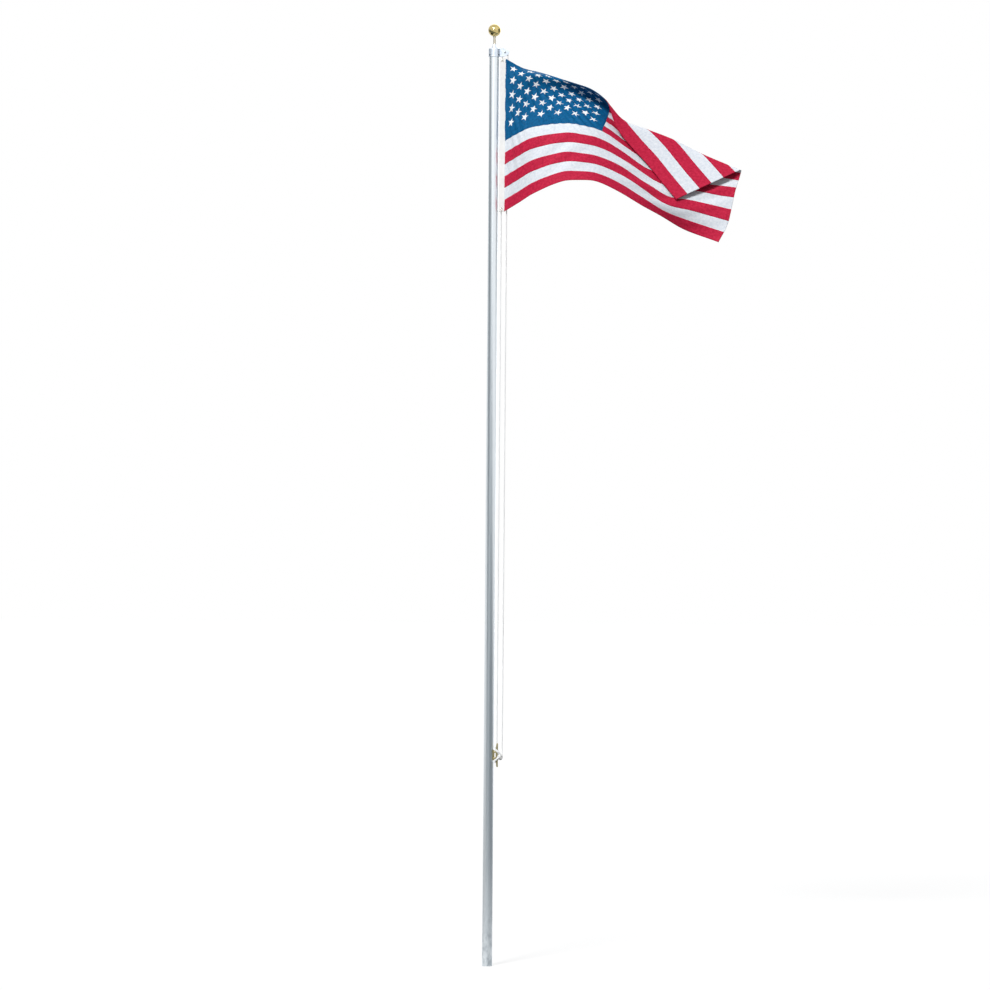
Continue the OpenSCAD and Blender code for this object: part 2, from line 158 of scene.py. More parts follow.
def new_material(name: str, values: dict[str, Any]) -> tuple[bpy.types.Material, Node]:
    """Make a material.

    Args:
        name: the material's name.
        values: constants for its shader's sockets.

    Returns:
        The material and its shader.
    """
    material = bpy.data.materials.new(name)
    material.use_nodes = True
    shader = material.node_tree.nodes["Principled BSDF"]
    set_inputs(shader, values)
    return material, shader


def vary_colour(tree: Tree, shader: Node, share: Link, low: str, high: str) -> None:
    """Let a shader's base colour run between two colours.

    Args:
        tree: the material's nodes.
        shader: the material's shader.
        share: the pattern, from 0 for the low colour to 1 for the high one.
        low: hex colour at 0.
        high: hex colour at 1.
    """
    tones = {6: linear(low), 7: linear(high)}
    mix = add_node(tree, "ShaderNodeMix", {"data_type": "RGBA"}, tones, {0: share})
    tree.links.new(mix.outputs[2], shader.inputs["Base Color"])


@dataclass(frozen=True)
class Finish:
    """A surface finish, which becomes a material of its own name on first use.

    The spread is the most that the roughness strays from its middle value. The relief is the height
    of the surface's grain in millimetres, and its share seen is how strongly the light shows it.
    """

    name: str
    colour: str
    roughness: float
    metallic: float = 0.0
    ior: float = 1.5
    sheen: float = 0.0
    spread: float = 0.06
    relief: float = 0.05
    relief_seen: float = 0.2

    def material(self) -> bpy.types.Material:
        """Find or make the finish's material.

        Returns:
            The material, with its nodes in place.
        """
        found = bpy.data.materials.get(self.name)
        if found:
            return found
        values = {
            "Base Color": linear(self.colour),
            "Roughness": self.roughness,
            "Metallic": self.metallic,
            "IOR": self.ior,
            "Sheen Weight": self.sheen,
        }
        material, shader = new_material(self.name, values)
        self.paint(material.node_tree, shader)
        return material

    def paint(self, tree: Tree, shader: Node) -> None:
        """Add the finish's own pattern to the shader."""

    def vary_roughness(self, tree: Tree, shader: Node, share: Link) -> None:
        """Let the roughness run either side of its middle value.

        Args:
            tree: the material's nodes.
            shader: the material's shader.
            share: the pattern, from 0 to 1.
        """
        span = add_node(
            tree,
            "ShaderNodeMapRange",
            values={"To Min": self.roughness - self.spread, "To Max": self.roughness + self.spread},
            links={"Value": share},
        )
        tree.links.new(span.outputs["Result"], shader.inputs["Roughness"])

    def raise_bump(self, tree: Tree, shader: Node, height: Link) -> None:
        """Give the surface its fine relief.

        Args:
            tree: the material's nodes.
            shader: the material's shader.
            height: the pattern, from 0 to 1.
        """
        bump = add_node(
            tree,
            "ShaderNodeBump",
            values={"Distance": mm(self.relief), "Strength": self.relief_seen},
            links={"Height": height},
        )
        tree.links.new(bump.outputs["Normal"], shader.inputs["Normal"])


def place_noise(tree: Tree, grains: Triple, detail: float = 2.0) -> Node:
    """Add a noise whose grains have a real size along each axis of the frame.

    Args:
        tree: the material's nodes.
        grains: grain size along X, Y and Z in millimetres.
        detail: how many finer layers it carries.

    Returns:
        The noise node, with its pattern in the output Fac.
    """
    place = add_node(tree, "ShaderNodeTexCoord")
    scaled = add_node(
        tree,
        "ShaderNodeMapping",
        values={"Scale": tuple(1.0 / mm(grain) for grain in grains)},
        links={"Vector": (place, "Object")},
    )
    return add_node(
        tree,
        "ShaderNodeTexNoise",
        values={"Scale": 1.0, "Detail": detail},
        links={"Vector": (scaled, "Vector")},
    )


@dataclass(frozen=True)
class DrawnAluminium(Finish):
    """Satin tube drawn through a die: soft highlights with faint streaks along the length."""

    metallic: float = 1.0
    spread: float = 0.07
    relief_seen: float = 0.25
    dull: str = "#98a3ab"
    streak: Triple = (2.5, 2.5, 260.0)
    blotch: Triple = (30.0, 30.0, 55.0)
    blotch_range: Pair = (0.42, 0.68)
    # The tube runs to the dull tone in blotches towards its foot, from this height down, and by a little
    # everywhere.
    darken_top: float = 420.0
    darken_foot: float = 0.85
    dull_everywhere: float = 0.06

    def paint(self, tree: Tree, shader: Node) -> None:
        """Streak the tube along its length and darken it in blotches towards its foot."""
        streak = place_noise(tree, self.streak)
        blotch = place_noise(tree, self.blotch, detail=5.0)
        place = add_node(tree, "ShaderNodeTexCoord")
        height = add_node(tree, "ShaderNodeSeparateXYZ", links={"Vector": (place, "Object")})
        near_foot = add_node(
            tree,
            "ShaderNodeMapRange",
            values={"From Min": mm(self.darken_top), "From Max": 0.0, "To Max": self.darken_foot},
            links={"Value": (height, "Z")},
        )
        spots = add_node(
            tree,
            "ShaderNodeMapRange",
            values={"From Min": self.blotch_range[0], "From Max": self.blotch_range[1]},
            links={"Value": (blotch, "Fac")},
        )
        darkening = add_node(
            tree,
            "ShaderNodeMath",
            {"operation": "MULTIPLY_ADD"},
            {2: self.dull_everywhere},
            {0: (near_foot, "Result"), 1: (spots, "Result")},
        )
        vary_colour(tree, shader, (darkening, "Value"), self.colour, self.dull)
        self.vary_roughness(tree, shader, (streak, "Fac"))
        self.raise_bump(tree, shader, (streak, "Fac"))


@dataclass(frozen=True)
class CastMetal(Finish):
    """Sand-cast and tumbled metal: a matt skin with a fine pebbled grain and rubbed patches."""

    metallic: float = 1.0
    spread: float = 0.08
    relief: float = 0.12
    relief_seen: float = 0.35
    worn: str = "#dfe6ee"
    grain: float = 1.6
    patch: float = 14.0

    def paint(self, tree: Tree, shader: Node) -> None:
        """Pebble the skin and let slow patches of tone run over it."""
        pebble = place_noise(tree, (self.grain,) * 3, detail=3.0)
        patch = place_noise(tree, (self.patch,) * 3)
        vary_colour(tree, shader, (patch, "Fac"), self.colour, self.worn)
        self.vary_roughness(tree, shader, (patch, "Fac"))
        self.raise_bump(tree, shader, (pebble, "Fac"))


@dataclass(frozen=True)
class PolishedMetal(Finish):
    """Spun and polished metal: a mirror skin with a trace of tool marks and handling haze."""

    metallic: float = 1.0
    spread: float = 0.035
    relief: float = 0.06
    relief_seen: float = 0.1
    deep: str = "#b07a1e"
    haze: float = 18.0

    def paint(self, tree: Tree, shader: Node) -> None:
        """Cloud the polish slightly so that it isn't a perfect mirror."""
        cloud = place_noise(tree, (self.haze,) * 3, detail=4.0)
        vary_colour(tree, shader, (cloud, "Fac"), self.deep, self.colour)
        self.vary_roughness(tree, shader, (cloud, "Fac"))
        self.raise_bump(tree, shader, (cloud, "Fac"))


@dataclass(frozen=True)
class MouldedNylon(Finish):
    """Moulded nylon: a waxy pale plastic with a soft sheen and fine turning marks."""

    ior: float = 1.53
    pale: str = "#f1efe6"
    glow_share: float = 0.08
    glow_depth: Triple = (2.0, 2.0, 1.6)
    grain: Triple = (0.9, 3.0, 0.9)

    def paint(self, tree: Tree, shader: Node) -> None:
        """Give the plastic its soft depth and a faint grain."""
        depths = tuple(mm(depth) for depth in self.glow_depth)
        set_inputs(shader, {"Subsurface Weight": self.glow_share, "Subsurface Radius": depths})
        grain = place_noise(tree, self.grain)
        vary_colour(tree, shader, (grain, "Fac"), self.colour, self.pale)
        self.vary_roughness(tree, shader, (grain, "Fac"))
        self.raise_bump(tree, shader, (grain, "Fac"))


def flat_place(tree: Tree) -> Node:
    """Add the piece's own flat coordinates in metres, split into X and Y.

    Args:
        tree: the material's nodes.

    Returns:
        A node with the outputs X and Y.
    """
    place = add_node(tree, "ShaderNodeUVMap", {"uv_map": FLAT_MAP})
    return add_node(tree, "ShaderNodeSeparateXYZ", links={"Vector": (place, "UV")})


def thread_wave(tree: Tree, value: Link, pitch: float) -> Node:
    """Turn a distance into a wave from -1 to 1, one for each thread.

    Args:
        tree: the material's nodes.
        value: the distance in metres.
        pitch: the thread spacing in millimetres.

    Returns:
        The node whose output Value is the wave.
    """
    turns = add_node(
        tree, "ShaderNodeMath", {"operation": "MULTIPLY"}, {1: math.tau / mm(pitch)}, {0: value}
    )
    return add_node(tree, "ShaderNodeMath", {"operation": "SINE"}, links={0: (turns, "Value")})


@dataclass(frozen=True)
class WovenCloth(Finish):
    """Plain-woven cloth: a crossed-thread relief, a low sheen and a slightly uneven dye."""

    sheen: float = 0.02
    spread: float = 0.08
    relief: float = 0.12
    relief_seen: float = 0.4
    pale: str = "#ffffff"
    thread: float = 2.4
    dye_grain: float = 15.0
    dye_detail: float = 4.0
    dye_roughness: float = 0.65
    dye_range: Pair = (0.3, 0.7)
    gloss: float = 0.1
    sheen_roughness: float = 0.4
    seam_pitch: float = 0.0
    seam_inset: float = 4.0
    stitch: float = 5.0
    stitch_width: float = 0.7
    stitch_gap: float = 0.6
    stitch_sink: float = 3.0

    def paint(self, tree: Tree, shader: Node) -> None:
        """Cross the threads, drawn coarser than life so that they show, and sew along the seams."""
        set_inputs(shader, {"Specular IOR Level": self.gloss, "Sheen Roughness": self.sheen_roughness})
        flat = flat_place(tree)
        warp = thread_wave(tree, (flat, "X"), self.thread)
        weft = thread_wave(tree, (flat, "Y"), self.thread)
        weave = add_node(
            tree,
            "ShaderNodeMath",
            {"operation": "MULTIPLY_ADD"},
            {2: 0.5},
            {0: (warp, "Value"), 1: (weft, "Value")},
        )
        dye = add_node(tree, "ShaderNodeUVMap", {"uv_map": FLAT_MAP})
        speck = add_node(
            tree,
            "ShaderNodeTexNoise",
            values={
                "Scale": 1.0 / mm(self.dye_grain),
                "Detail": self.dye_detail,
                "Roughness": self.dye_roughness,
            },
            links={"Vector": (dye, "UV")},
        )
        tone = add_node(
            tree,
            "ShaderNodeMapRange",
            values={"From Min": self.dye_range[0], "From Max": self.dye_range[1]},
            links={"Value": (speck, "Fac")},
        )
        vary_colour(tree, shader, (tone, "Result"), self.colour, self.pale)
        self.vary_roughness(tree, shader, (speck, "Fac"))
        height = self.sew(tree, flat, weave) if self.seam_pitch else weave
        self.raise_bump(tree, shader, (height, "Value"))

    def sew(self, tree: Tree, flat: Node, weave: Node) -> Node:
        """Sink a row of stitches beside each seam.

        Args:
            tree: the material's nodes.
            flat: the split flat coordinates.
            weave: the weave's height.

        Returns:
            The node whose Value is the weave with the stitches in it.
        """
        to_seam = add_node(
            tree,
            "ShaderNodeMath",
            {"operation": "PINGPONG"},
            {1: mm(self.seam_pitch) / 2},
            {0: (flat, "Y")},
        )
        beside = add_node(
            tree,
            "ShaderNodeMath",
            {"operation": "COMPARE"},
            {1: mm(self.seam_inset), 2: mm(self.stitch_width)},
            {0: (to_seam, "Value")},
        )
        dash = thread_wave(tree, (flat, "X"), self.stitch)
        sewn = add_node(
            tree, "ShaderNodeMath", {"operation": "LESS_THAN"}, {1: self.stitch_gap}, {0: (dash, "Value")}
        )
        row = add_node(
            tree,
            "ShaderNodeMath",
            {"operation": "MULTIPLY"},
            links={0: (beside, "Value"), 1: (sewn, "Value")},
        )
        return add_node(
            tree,
            "ShaderNodeMath",
            {"operation": "MULTIPLY_ADD"},
            {1: -self.stitch_sink},
            {0: (row, "Value"), 2: (weave, "Value")},
        )


@dataclass(frozen=True)
class BraidedCord(Finish):
    """Braided polyester line: crossing strands, with painted shade in the gaps between them."""

    sheen: float = 0.1
    relief: float = 0.6
    relief_seen: float = 0.6
    gap_shade: str = "#e6e9ea"
    gap_range: Pair = (-0.4, 0.7)
    strand: float = 5.0
    strands_round: int = 8

    def paint(self, tree: Tree, shader: Node) -> None:
        """Cross two sets of slanted strands round the line, from its own flat coordinates."""
        flat = flat_place(tree)
        along = add_node(
            tree,
            "ShaderNodeMath",
            {"operation": "MULTIPLY"},
            {1: math.tau / mm(self.strand)},
            {0: (flat, "Y")},
        )
        slants = []
        for way in (1, -1):
            around = add_node(
                tree,
                "ShaderNodeMath",
                {"operation": "MULTIPLY_ADD"},
                {1: way * math.tau * self.strands_round / 2},
                {0: (flat, "X"), 2: (along, "Value")},
            )
            slant = add_node(tree, "ShaderNodeMath", {"operation": "SINE"}, links={0: (around, "Value")})
            slants.append((slant, "Value"))
        braid = add_node(
            tree,
            "ShaderNodeMath",
            {"operation": "MULTIPLY_ADD"},
            {2: 0.5},
            {0: slants[0], 1: slants[1]},
        )
        share = add_node(
            tree,
            "ShaderNodeMapRange",
            values={"From Min": self.gap_range[0], "From Max": self.gap_range[1]},
            links={"Value": (braid, "Value")},
        )
        # Painted shade: the gaps between the strands are coloured darker than the strands.
        vary_colour(tree, shader, (share, "Result"), self.gap_shade, self.colour)
        self.raise_bump(tree, shader, (share, "Result"))


# Drawn and satin-finished aluminium tube: pale, blue-grey in the shade, long soft highlights.
POLE_METAL = DrawnAluminium("satin_drawn_aluminium", "#e2e8ec", 0.36)
# Cast aluminium, tumbled: paler and more matt than the tube, slightly pebbled.
TRUCK_METAL = CastMetal("tumbled_cast_aluminium", "#c2cede", 0.4)
# Gold-anodised spun aluminium: a yellow mirror that goes olive and near black in its reflections.
GOLD = PolishedMetal("gold_anodised_spun_aluminium", "#dccb92", 0.12, deep="#b09a5c")
# Turned aluminium rod: bright, with a warm tint that is a painted reflection of the gold ball.
STEM_METAL_AND_GOLD_REFLECTION = PolishedMetal("turned_aluminium_rod", "#ddd8cc", 0.24, deep="#c9bfa6")
# Turned stainless steel: a neutral grey shine on the pin and the cleat's screws.
STEEL = PolishedMetal("turned_stainless_steel", "#b9bcbe", 0.28, deep="#8f9396")
# Cast bronze gone dull: straw-coloured with paler rubbed patches.
BRONZE = CastMetal("dulled_cast_bronze", "#a8986c", 0.44, worn="#c9c19a")
# Blackened steel: small dark screws round the cap's rim, their near-black tone partly painted shade under
# the rim.
BLACK_STEEL_AND_RIM_SHADE = PolishedMetal("blackened_steel", "#3f4a52", 0.4, deep="#262d33")
# Nickel-plated brass: pale silver, half polished by handling.
NICKEL = PolishedMetal("nickel_plated_brass", "#e9e8e2", 0.26, deep="#d2cfc4")
# Moulded nylon wheel: off-white and waxy.
WHEEL_NYLON = MouldedNylon("moulded_nylon", "#d9d5c8", 0.42)
# Braided polyester line: soft white, with painted shade in the gaps between strands.
LINE = BraidedCord("braided_polyester", "#ffffff", 0.75)
# Dyed nylon bunting: smooth, close-woven, with a low sheen and slightly uneven dye.
RED_NYLON = WovenCloth("red_nylon_bunting", "#b3183a", 0.62, pale="#d82e50", seam_pitch=STRIPE_DEPTH)
WHITE_NYLON = WovenCloth("white_nylon_bunting", "#d9e1ec", 0.62, pale="#f6f9fe", seam_pitch=STRIPE_DEPTH)
BLUE_NYLON = WovenCloth(
    "blue_nylon_bunting", "#054a76", 0.62, pale="#0d6ba2", seam_pitch=CANTON_STRIPES * STRIPE_DEPTH
)
# Satin-stitched polyester: raised white stars with a thready shine.
STAR_THREAD = WovenCloth("satin_stitched_polyester", "#f6f8fc", 0.5, thread=1.6, relief=0.2)
# Cotton duck: heavy off-white canvas with a coarse weave.
CANVAS = WovenCloth("cotton_duck", "#fafaf7", 0.85, thread=1.8, relief=0.3, sheen=0.05)


def lathe(profile: Profile, steps: int = 96, closed: bool = False) -> Mesh:
    """Spin a profile about the Z axis.

    Args:
        profile: radius and height of each point, in millimetres.
        steps: sides of the finished ring.
        closed: whether the profile's two ends join, as round a tube's wall.

    Returns:
        The closed mesh, in metres.
    """
    mesh = bmesh.new()
    points = [mesh.verts.new((mm(radius), 0.0, mm(height))) for radius, height in profile]
    pairs = list(zip(points, points[1:]))
    if closed:
        pairs.append((points[-1], points[0]))
    edges = [mesh.edges.new(pair) for pair in pairs]
    bmesh.ops.spin(
        mesh,
        geom=points + edges,
        cent=(0.0, 0.0, 0.0),
        axis=(0.0, 0.0, 1.0),
        angle=math.tau,
        steps=steps,
        use_merge=True,
    )
    return settle(mesh)


def settle(mesh: Mesh) -> Mesh:
    """Merge a closed mesh's doubles and point its faces outwards.

    Args:
        mesh: the mesh to settle.

    Returns:
        The same mesh.
    """
    bmesh.ops.remove_doubles(mesh, verts=mesh.verts, dist=1e-6)
    bmesh.ops.recalc_face_normals(mesh, faces=mesh.faces)
    return mesh


def soften(mesh: Mesh, width: float, segments: int = 2, least: float = 40.0) -> Mesh:
    """Round a mesh's sharp edges.

    Args:
        mesh: the mesh to round.
        width: the rounding's width in millimetres.
        segments: faces across the rounding.
        least: the smallest turn, in degrees, that counts as sharp.

    Returns:
        The same mesh.
    """
    sharp = [e for e in mesh.edges if e.is_manifold and e.calc_face_angle() > math.radians(least)]
    bmesh.ops.bevel(
        mesh,
        geom=sharp,
        offset=mm(width),
        offset_type="OFFSET",
        affect="EDGES",
        segments=segments,
        profile=0.5,
        material=-1,
        clamp_overlap=True,
    )
    return mesh


def moved(mesh: Mesh, *steps: Matrix) -> Mesh:
    """Carry a mesh to its place.

    Args:
        mesh: the mesh to carry.
        steps: the moves, the last of which is made first.

    Returns:
        The same mesh.
    """
    whole = Matrix.Identity(4)
    for step in steps:
        whole = whole @ step
    bmesh.ops.transform(mesh, matrix=whole, verts=mesh.verts)
    return mesh


def shift(x: float, y: float, z: float) -> Matrix:
    """Make a move by millimetres."""
    return Matrix.Translation((mm(x), mm(y), mm(z)))


def turn(degrees: float, axis: str) -> Matrix:
    """Make a turn about one axis of the frame."""
    return Matrix.Rotation(math.radians(degrees), 4, axis)


def gathered(*meshes: Mesh) -> Mesh:
    """Put several closed meshes into one.

    Args:
        meshes: the meshes, which are used up.

    Returns:
        One mesh that holds them all.
    """
    whole = bmesh.new()
    for mesh in meshes:
        carrier = bpy.data.meshes.new("carrier")
        mesh.to_mesh(carrier)
        mesh.free()
        whole.from_mesh(carrier)
        bpy.data.meshes.remove(carrier)
    return whole


def only(kind: type, items: Sequence[Any]) -> list[Any]:
    """Keep the items of one kind."""
    return [item for item in items if isinstance(item, kind)]


def sweep(path: Sequence[Vector], radii: Sequence[float], sides: int = 16) -> Mesh:
    """Draw a round section along a path, one extruded ring after another.

    Args:
        path: the points of the section's centre, in metres.
        radii: the section's radius at each point, in metres.
        sides: sides of the section.

    Returns:
        The closed mesh, with the distance round and along it in its flat coordinates.
    """
    frames = carried_frames(path, radii)
    mesh = bmesh.new()
    flat = mesh.loops.layers.uv.new(FLAT_MAP)
    ring = bmesh.ops.create_circle(mesh, cap_ends=False, radius=1.0, segments=sides)["verts"]
    bmesh.ops.transform(mesh, matrix=frames[0], verts=ring)
    edges = list(mesh.edges)
    first = list(edges)
    along = 0.0
    for here, there in zip(frames, frames[1:]):
        step = (there.translation - here.translation).length
        made = bmesh.ops.extrude_edge_only(mesh, edges=edges)["geom"]
        ring = only(bmesh.types.BMVert, made)
        edges = [edge for edge in only(bmesh.types.BMEdge, made) if edge.is_boundary]
        bmesh.ops.transform(mesh, matrix=there @ here.inverted(), verts=ring)
        far_ring = set(ring)
        for face in only(bmesh.types.BMFace, made):
            for loop, share in zip(face.loops, round_shares(face, here, there, far_ring)):
                loop[flat].uv = (share, along + step * (loop.vert in far_ring))
        along += step
    for rim in (first, edges):
        bmesh.ops.contextual_create(mesh, geom=rim)
    bmesh.ops.recalc_face_normals(mesh, faces=mesh.faces)
    return mesh


def carried_frames(path: Sequence[Vector], radii: Sequence[float]) -> list[Matrix]:
    """Carry a frame along a path without twisting it.

    Args:
        path: the path's points.
        radii: the frame's size across at each point.

    Returns:
        One matrix a point, with its Z axis along the path.
    """
    ways = [(b - a).normalized() for a, b in zip(path, path[1:])]
    tangents = [ways[0]] + [(a + b).normalized() for a, b in zip(ways, ways[1:])] + [ways[-1]]
    side = tangents[0].orthogonal().normalized()
    frames = []
    for point, tangent, radius in zip(path, tangents, radii):
        side = (side - tangent * side.dot(tangent)).normalized()
        other = tangent.cross(side)
        frame = Matrix.Identity(4)
        frame.col[0][:3] = side * radius
        frame.col[1][:3] = other * radius
        frame.col[2][:3] = tangent
        frame.col[3][:3] = point
        frames.append(frame)
    return frames


def round_shares(
    face: bmesh.types.BMFace, here: Matrix, there: Matrix, far_ring: set[bmesh.types.BMVert]
) -> list[float]:
    """Find how far round the section each corner of a swept face lies.

    Args:
        face: a face between two rings.
        here: the frame of the near ring.
        there: the frame of the far ring.
        far_ring: the corners of the far ring.

    Returns:
        The share of a full turn for each corner, unbroken across the face.
    """
    shares = []
    for loop in face.loops:
        frame = there if loop.vert in far_ring else here
        local = frame.inverted() @ loop.vert.co
        shares.append(math.atan2(local.y, local.x) / math.tau % 1.0)
    if max(shares) - min(shares) > 0.5:
        shares = [share + 1.0 if share < 0.5 else share for share in shares]
    return shares


def new_object(name: str, data: bpy.types.ID) -> Piece:
    """Put an object into the scene.

    Args:
        name: the object's name.
        data: its mesh, camera or light.

    Returns:
        The new object, at the origin.
    """
    thing = bpy.data.objects.new(name, data)
    bpy.context.scene.collection.objects.link(thing)
    return thing


def mesh_object(name: str, mesh: Mesh, material: bpy.types.Material) -> Piece:
    """Turn a mesh into an object of the scene.

    Args:
        name: the object's name.
        mesh: its mesh, which is used up.
        material: its material.

    Returns:
        The new object, at the origin.
    """
    data = bpy.data.meshes.new(name)
    mesh.to_mesh(data)
    mesh.free()
    data.materials.append(material)
    return new_object(name, data)


def make_piece(
    name: str,
    mesh: Mesh,
    finish: Finish,
    body: Body,
    stands_for: Sequence[str] = (),
    sharp: float = 35.0,
) -> Piece:
    """Turn a mesh into a finished piece that rides on its body.

    Args:
        name: the piece's name.
        mesh: its mesh in the shared frame, which is used up.
        finish: its surface finish.
        body: the body it moves with.
        stands_for: the frame's nodes that it replaces.
        sharp: the turn, in degrees, past which an edge stays crisp.

    Returns:
        The new object, at the origin.
    """
    piece = mesh_object(name, mesh, finish.material())
    piece.data.shade_smooth()
    piece.data.set_sharp_from_angle(angle=math.radians(sharp))
    if sharp < 180.0:
        piece.modifiers.new("even_shading", "WEIGHTED_NORMAL").keep_sharp = True
    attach(piece, body.value)
    if stands_for:
        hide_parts(*stands_for)
    return piece


def refinish(node: str, finish: Finish) -> None:
    """Give a node that stays as it is a better material.

    Args:
        node: the node's name in the frame.
        finish: its surface finish.
    """
    piece = bpy.data.objects[node]
    piece.data.materials.clear()
    piece.data.materials.append(finish.material())


@dataclass(frozen=True)
class PoleTubes:
    """The two drawn tubes of the pole, butted over a sleeve."""

    wall: float = 2.0
    end_round: float = 0.9
    foot: float = 6.0

    def build(self) -> Pieces:
        """Make both tubes and finish the sleeve inside their joint.

        Returns:
            The two tubes.
        """
        refinish("joint_sleeve", POLE_METAL)
        lower = self.dress("lower_tube", "lower_section", footed=True)
        return [lower, self.dress("upper_tube", "upper_section", footed=False)]

    def dress(self, name: str, node: str, footed: bool) -> Piece:
        """Make one tube over its node.

        Args:
            name: the piece's name.
            node: the tube's node in the frame.
            footed: whether its lower end is closed.

        Returns:
            The finished tube.
        """
        low, high = box_mm(node)
        radius = (high.x - low.x) / 2
        bore, floor = radius - self.wall, low.z + self.foot
        tube = [(bore, low.z), (radius, low.z), (radius, high.z), (bore, high.z)]
        if footed:
            mesh = lathe([(0, low.z), *tube[1:], (bore, floor), (0, floor)])
        else:
            mesh = lathe(tube, closed=True)
        soften(mesh, self.end_round)
        return make_piece(name, mesh, POLE_METAL, Body.POLE, [node])


def arc(radius: float, start: float, end: float, steps: int) -> list[Pair]:
    """List points on an arc about the origin.

    Args:
        radius: the arc's radius.
        start: the first angle in degrees.
        end: the last angle in degrees.
        steps: how many parts the arc has.

    Returns:
        The points' two coordinates.
    """
    angles = [math.radians(start + (end - start) * i / steps) for i in range(steps + 1)]
    return [(radius * math.cos(angle), radius * math.sin(angle)) for angle in angles]


def mirrored(profile: Profile) -> list[Pair]:
    """Turn a profile upside down, from its last point to its first."""
    return [(radius, -height) for radius, height in reversed(profile)]


@dataclass(frozen=True)
class Truck:
    """The cast cap on the pole's top with its pulley housing, and the pin through it."""

    bore: float = 30.35
    skirt: float = 34.3
    bead: float = 0.8
    bead_height: float = 5.0
    cap_height: float = 52.0
    shoulder: float = 9.0
    boss_base: float = 15.0
    boss_top: float = 9.5
    boss_height: float = 22.0
    boss_fillet: float = 2.0
    edge_round: float = 0.7
    pole_socket: float = 48.0
    nose_reach: float = 54.0
    nose_root: float = 31.5
    cheek: float = 3.5
    cheek_gap: float = 12.0
    cheek_round: float = 0.9
    pin_radius: float = 4.0
    pin_head: float = 6.5
    head_rise: float = 2.4
    head_dome: Profile = ((1.0, 0.0), (0.8, 0.7), (0.45, 1.0), (0.0, 1.0))
    screw_radius: float = 5.0
    screw_rise: float = 1.2
    screw_sunk: float = 2.0
    screw_edge: float = 0.4
    socket_sunk: float = 1.0
    screw_height: float = 9.5
    screw_turns: tuple[float, ...] = (-38.0, 90.0, 218.0)

    def build(self) -> Pieces:
        """Make the cap, its cheeks, the pin and the set screws.

        Returns:
            The finished pieces.
        """
        rim = box_mm("truck")[0].z
        pieces = [make_piece("truck_cap", self.cap(rim), TRUCK_METAL, Body.POLE, ["truck"])]
        for name, side in (("front_cheek", -1), ("back_cheek", 1)):
            pieces.append(make_piece(name, self.cheek_plate(rim, side), TRUCK_METAL, Body.POLE))
        pin = make_piece("pulley_pin", self.pin(), STEEL, Body.POLE, ["sheave_pin"])
        # The screws are near black partly as painted shade under the cap's rim.
        screws = make_piece("cap_screws", self.screws(rim), BLACK_STEEL_AND_RIM_SHADE, Body.POLE)
        return pieces + [pin, screws]

    def cap(self, rim: float) -> Mesh:
        """Turn the cap with its beaded rim, round shoulder and boss.

        Args:
            rim: height of the cap's rim in millimetres.

        Returns:
            The cap's mesh.
        """
        top = rim + self.cap_height
        centre = self.skirt - self.shoulder
        round_top = [(centre + x, top - self.shoulder + z) for x, z in arc(self.shoulder, 0, 90, 8)]
        profile = [(0, rim + self.pole_socket), (self.bore, rim + self.pole_socket), (self.bore, rim)]
        profile += [(self.skirt + self.bead, rim), (self.skirt + self.bead, rim + self.bead_height)]
        profile += [(self.skirt, rim + self.bead_height + self.bead)]
        profile += round_top
        profile += [(self.boss_base + self.boss_fillet, top), (self.boss_base, top + self.boss_fillet)]
        profile += [(self.boss_top, top + self.boss_height), (0, top + self.boss_height)]
        return soften(lathe(profile), self.edge_round)

    def cheek_plate(self, rim: float, side: int) -> Mesh:
        """Cut one cheek of the housing from an ellipse that grows out of the cap.

        Args:
            rim: height of the cap's rim in millimetres.
            side: -1 for the front cheek, 1 for the back one.

        Returns:
            The cheek's mesh.
        """
        mesh = bmesh.new()
        bmesh.ops.create_circle(mesh, cap_ends=True, radius=mm(1.0), segments=96)
        bmesh.ops.scale(mesh, vec=(self.nose_reach, self.cap_height / 2, 1.0), verts=mesh.verts)
        bmesh.ops.translate(mesh, vec=(mm(self.skirt), 0.0, 0.0), verts=mesh.verts)
        bmesh.ops.bisect_plane(
            mesh,
            geom=mesh.verts[:] + mesh.edges[:] + mesh.faces[:],
            plane_co=(mm(self.nose_root), 0.0, 0.0),
            plane_no=(-1.0, 0.0, 0.0),
            clear_outer=True,
        )
        made = bmesh.ops.extrude_face_region(mesh, geom=mesh.faces[:])["geom"]
        raised = only(bmesh.types.BMVert, made)
        bmesh.ops.translate(mesh, vec=(0.0, 0.0, mm(self.cheek)), verts=raised)
        soften(settle(mesh), self.cheek_round)
        face = self.cheek_gap / 2 + self.cheek if side > 0 else -self.cheek_gap / 2
        return moved(mesh, shift(0, face, rim + self.cap_height / 2), turn(90, "X"))

    def pin(self) -> Mesh:
        """Turn the pin with a domed head outside each cheek.

        Returns:
            The pin's mesh, at the sheave's axis.
        """
        low, high = box_mm("sheave_pin")
        half = (high.y - low.y) / 2
        upper = [(self.pin_radius, half)]
        upper += [(self.pin_head * wide, half + self.head_rise * rise) for wide, rise in self.head_dome]
        place = shift(*middle_mm("sheave_pin"))
        return moved(lathe(mirrored(upper) + upper, 48), place, turn(90, "X"))

    def screws(self, rim: float) -> Mesh:
        """Turn the socket screws that hold the cap's skirt to the pole.

        Args:
            rim: height of the cap's rim in millimetres.

        Returns:
            The screws' mesh.
        """
        wide, rise, edge = self.screw_radius, self.screw_rise, self.screw_edge
        foot, floor, socket = -self.screw_sunk, -self.socket_sunk, wide / 2
        profile = [(0, foot), (wide, foot), (wide, rise - edge), (wide - edge, rise)]
        profile += [(socket, rise), (socket, floor), (0, floor)]
        place = shift(self.skirt, 0, rim + self.screw_height)
        heads = []
        for angle in self.screw_turns:
            heads.append(moved(lathe(profile, 32), turn(angle, "Z"), place, turn(90, "Y")))
        return gathered(*heads)


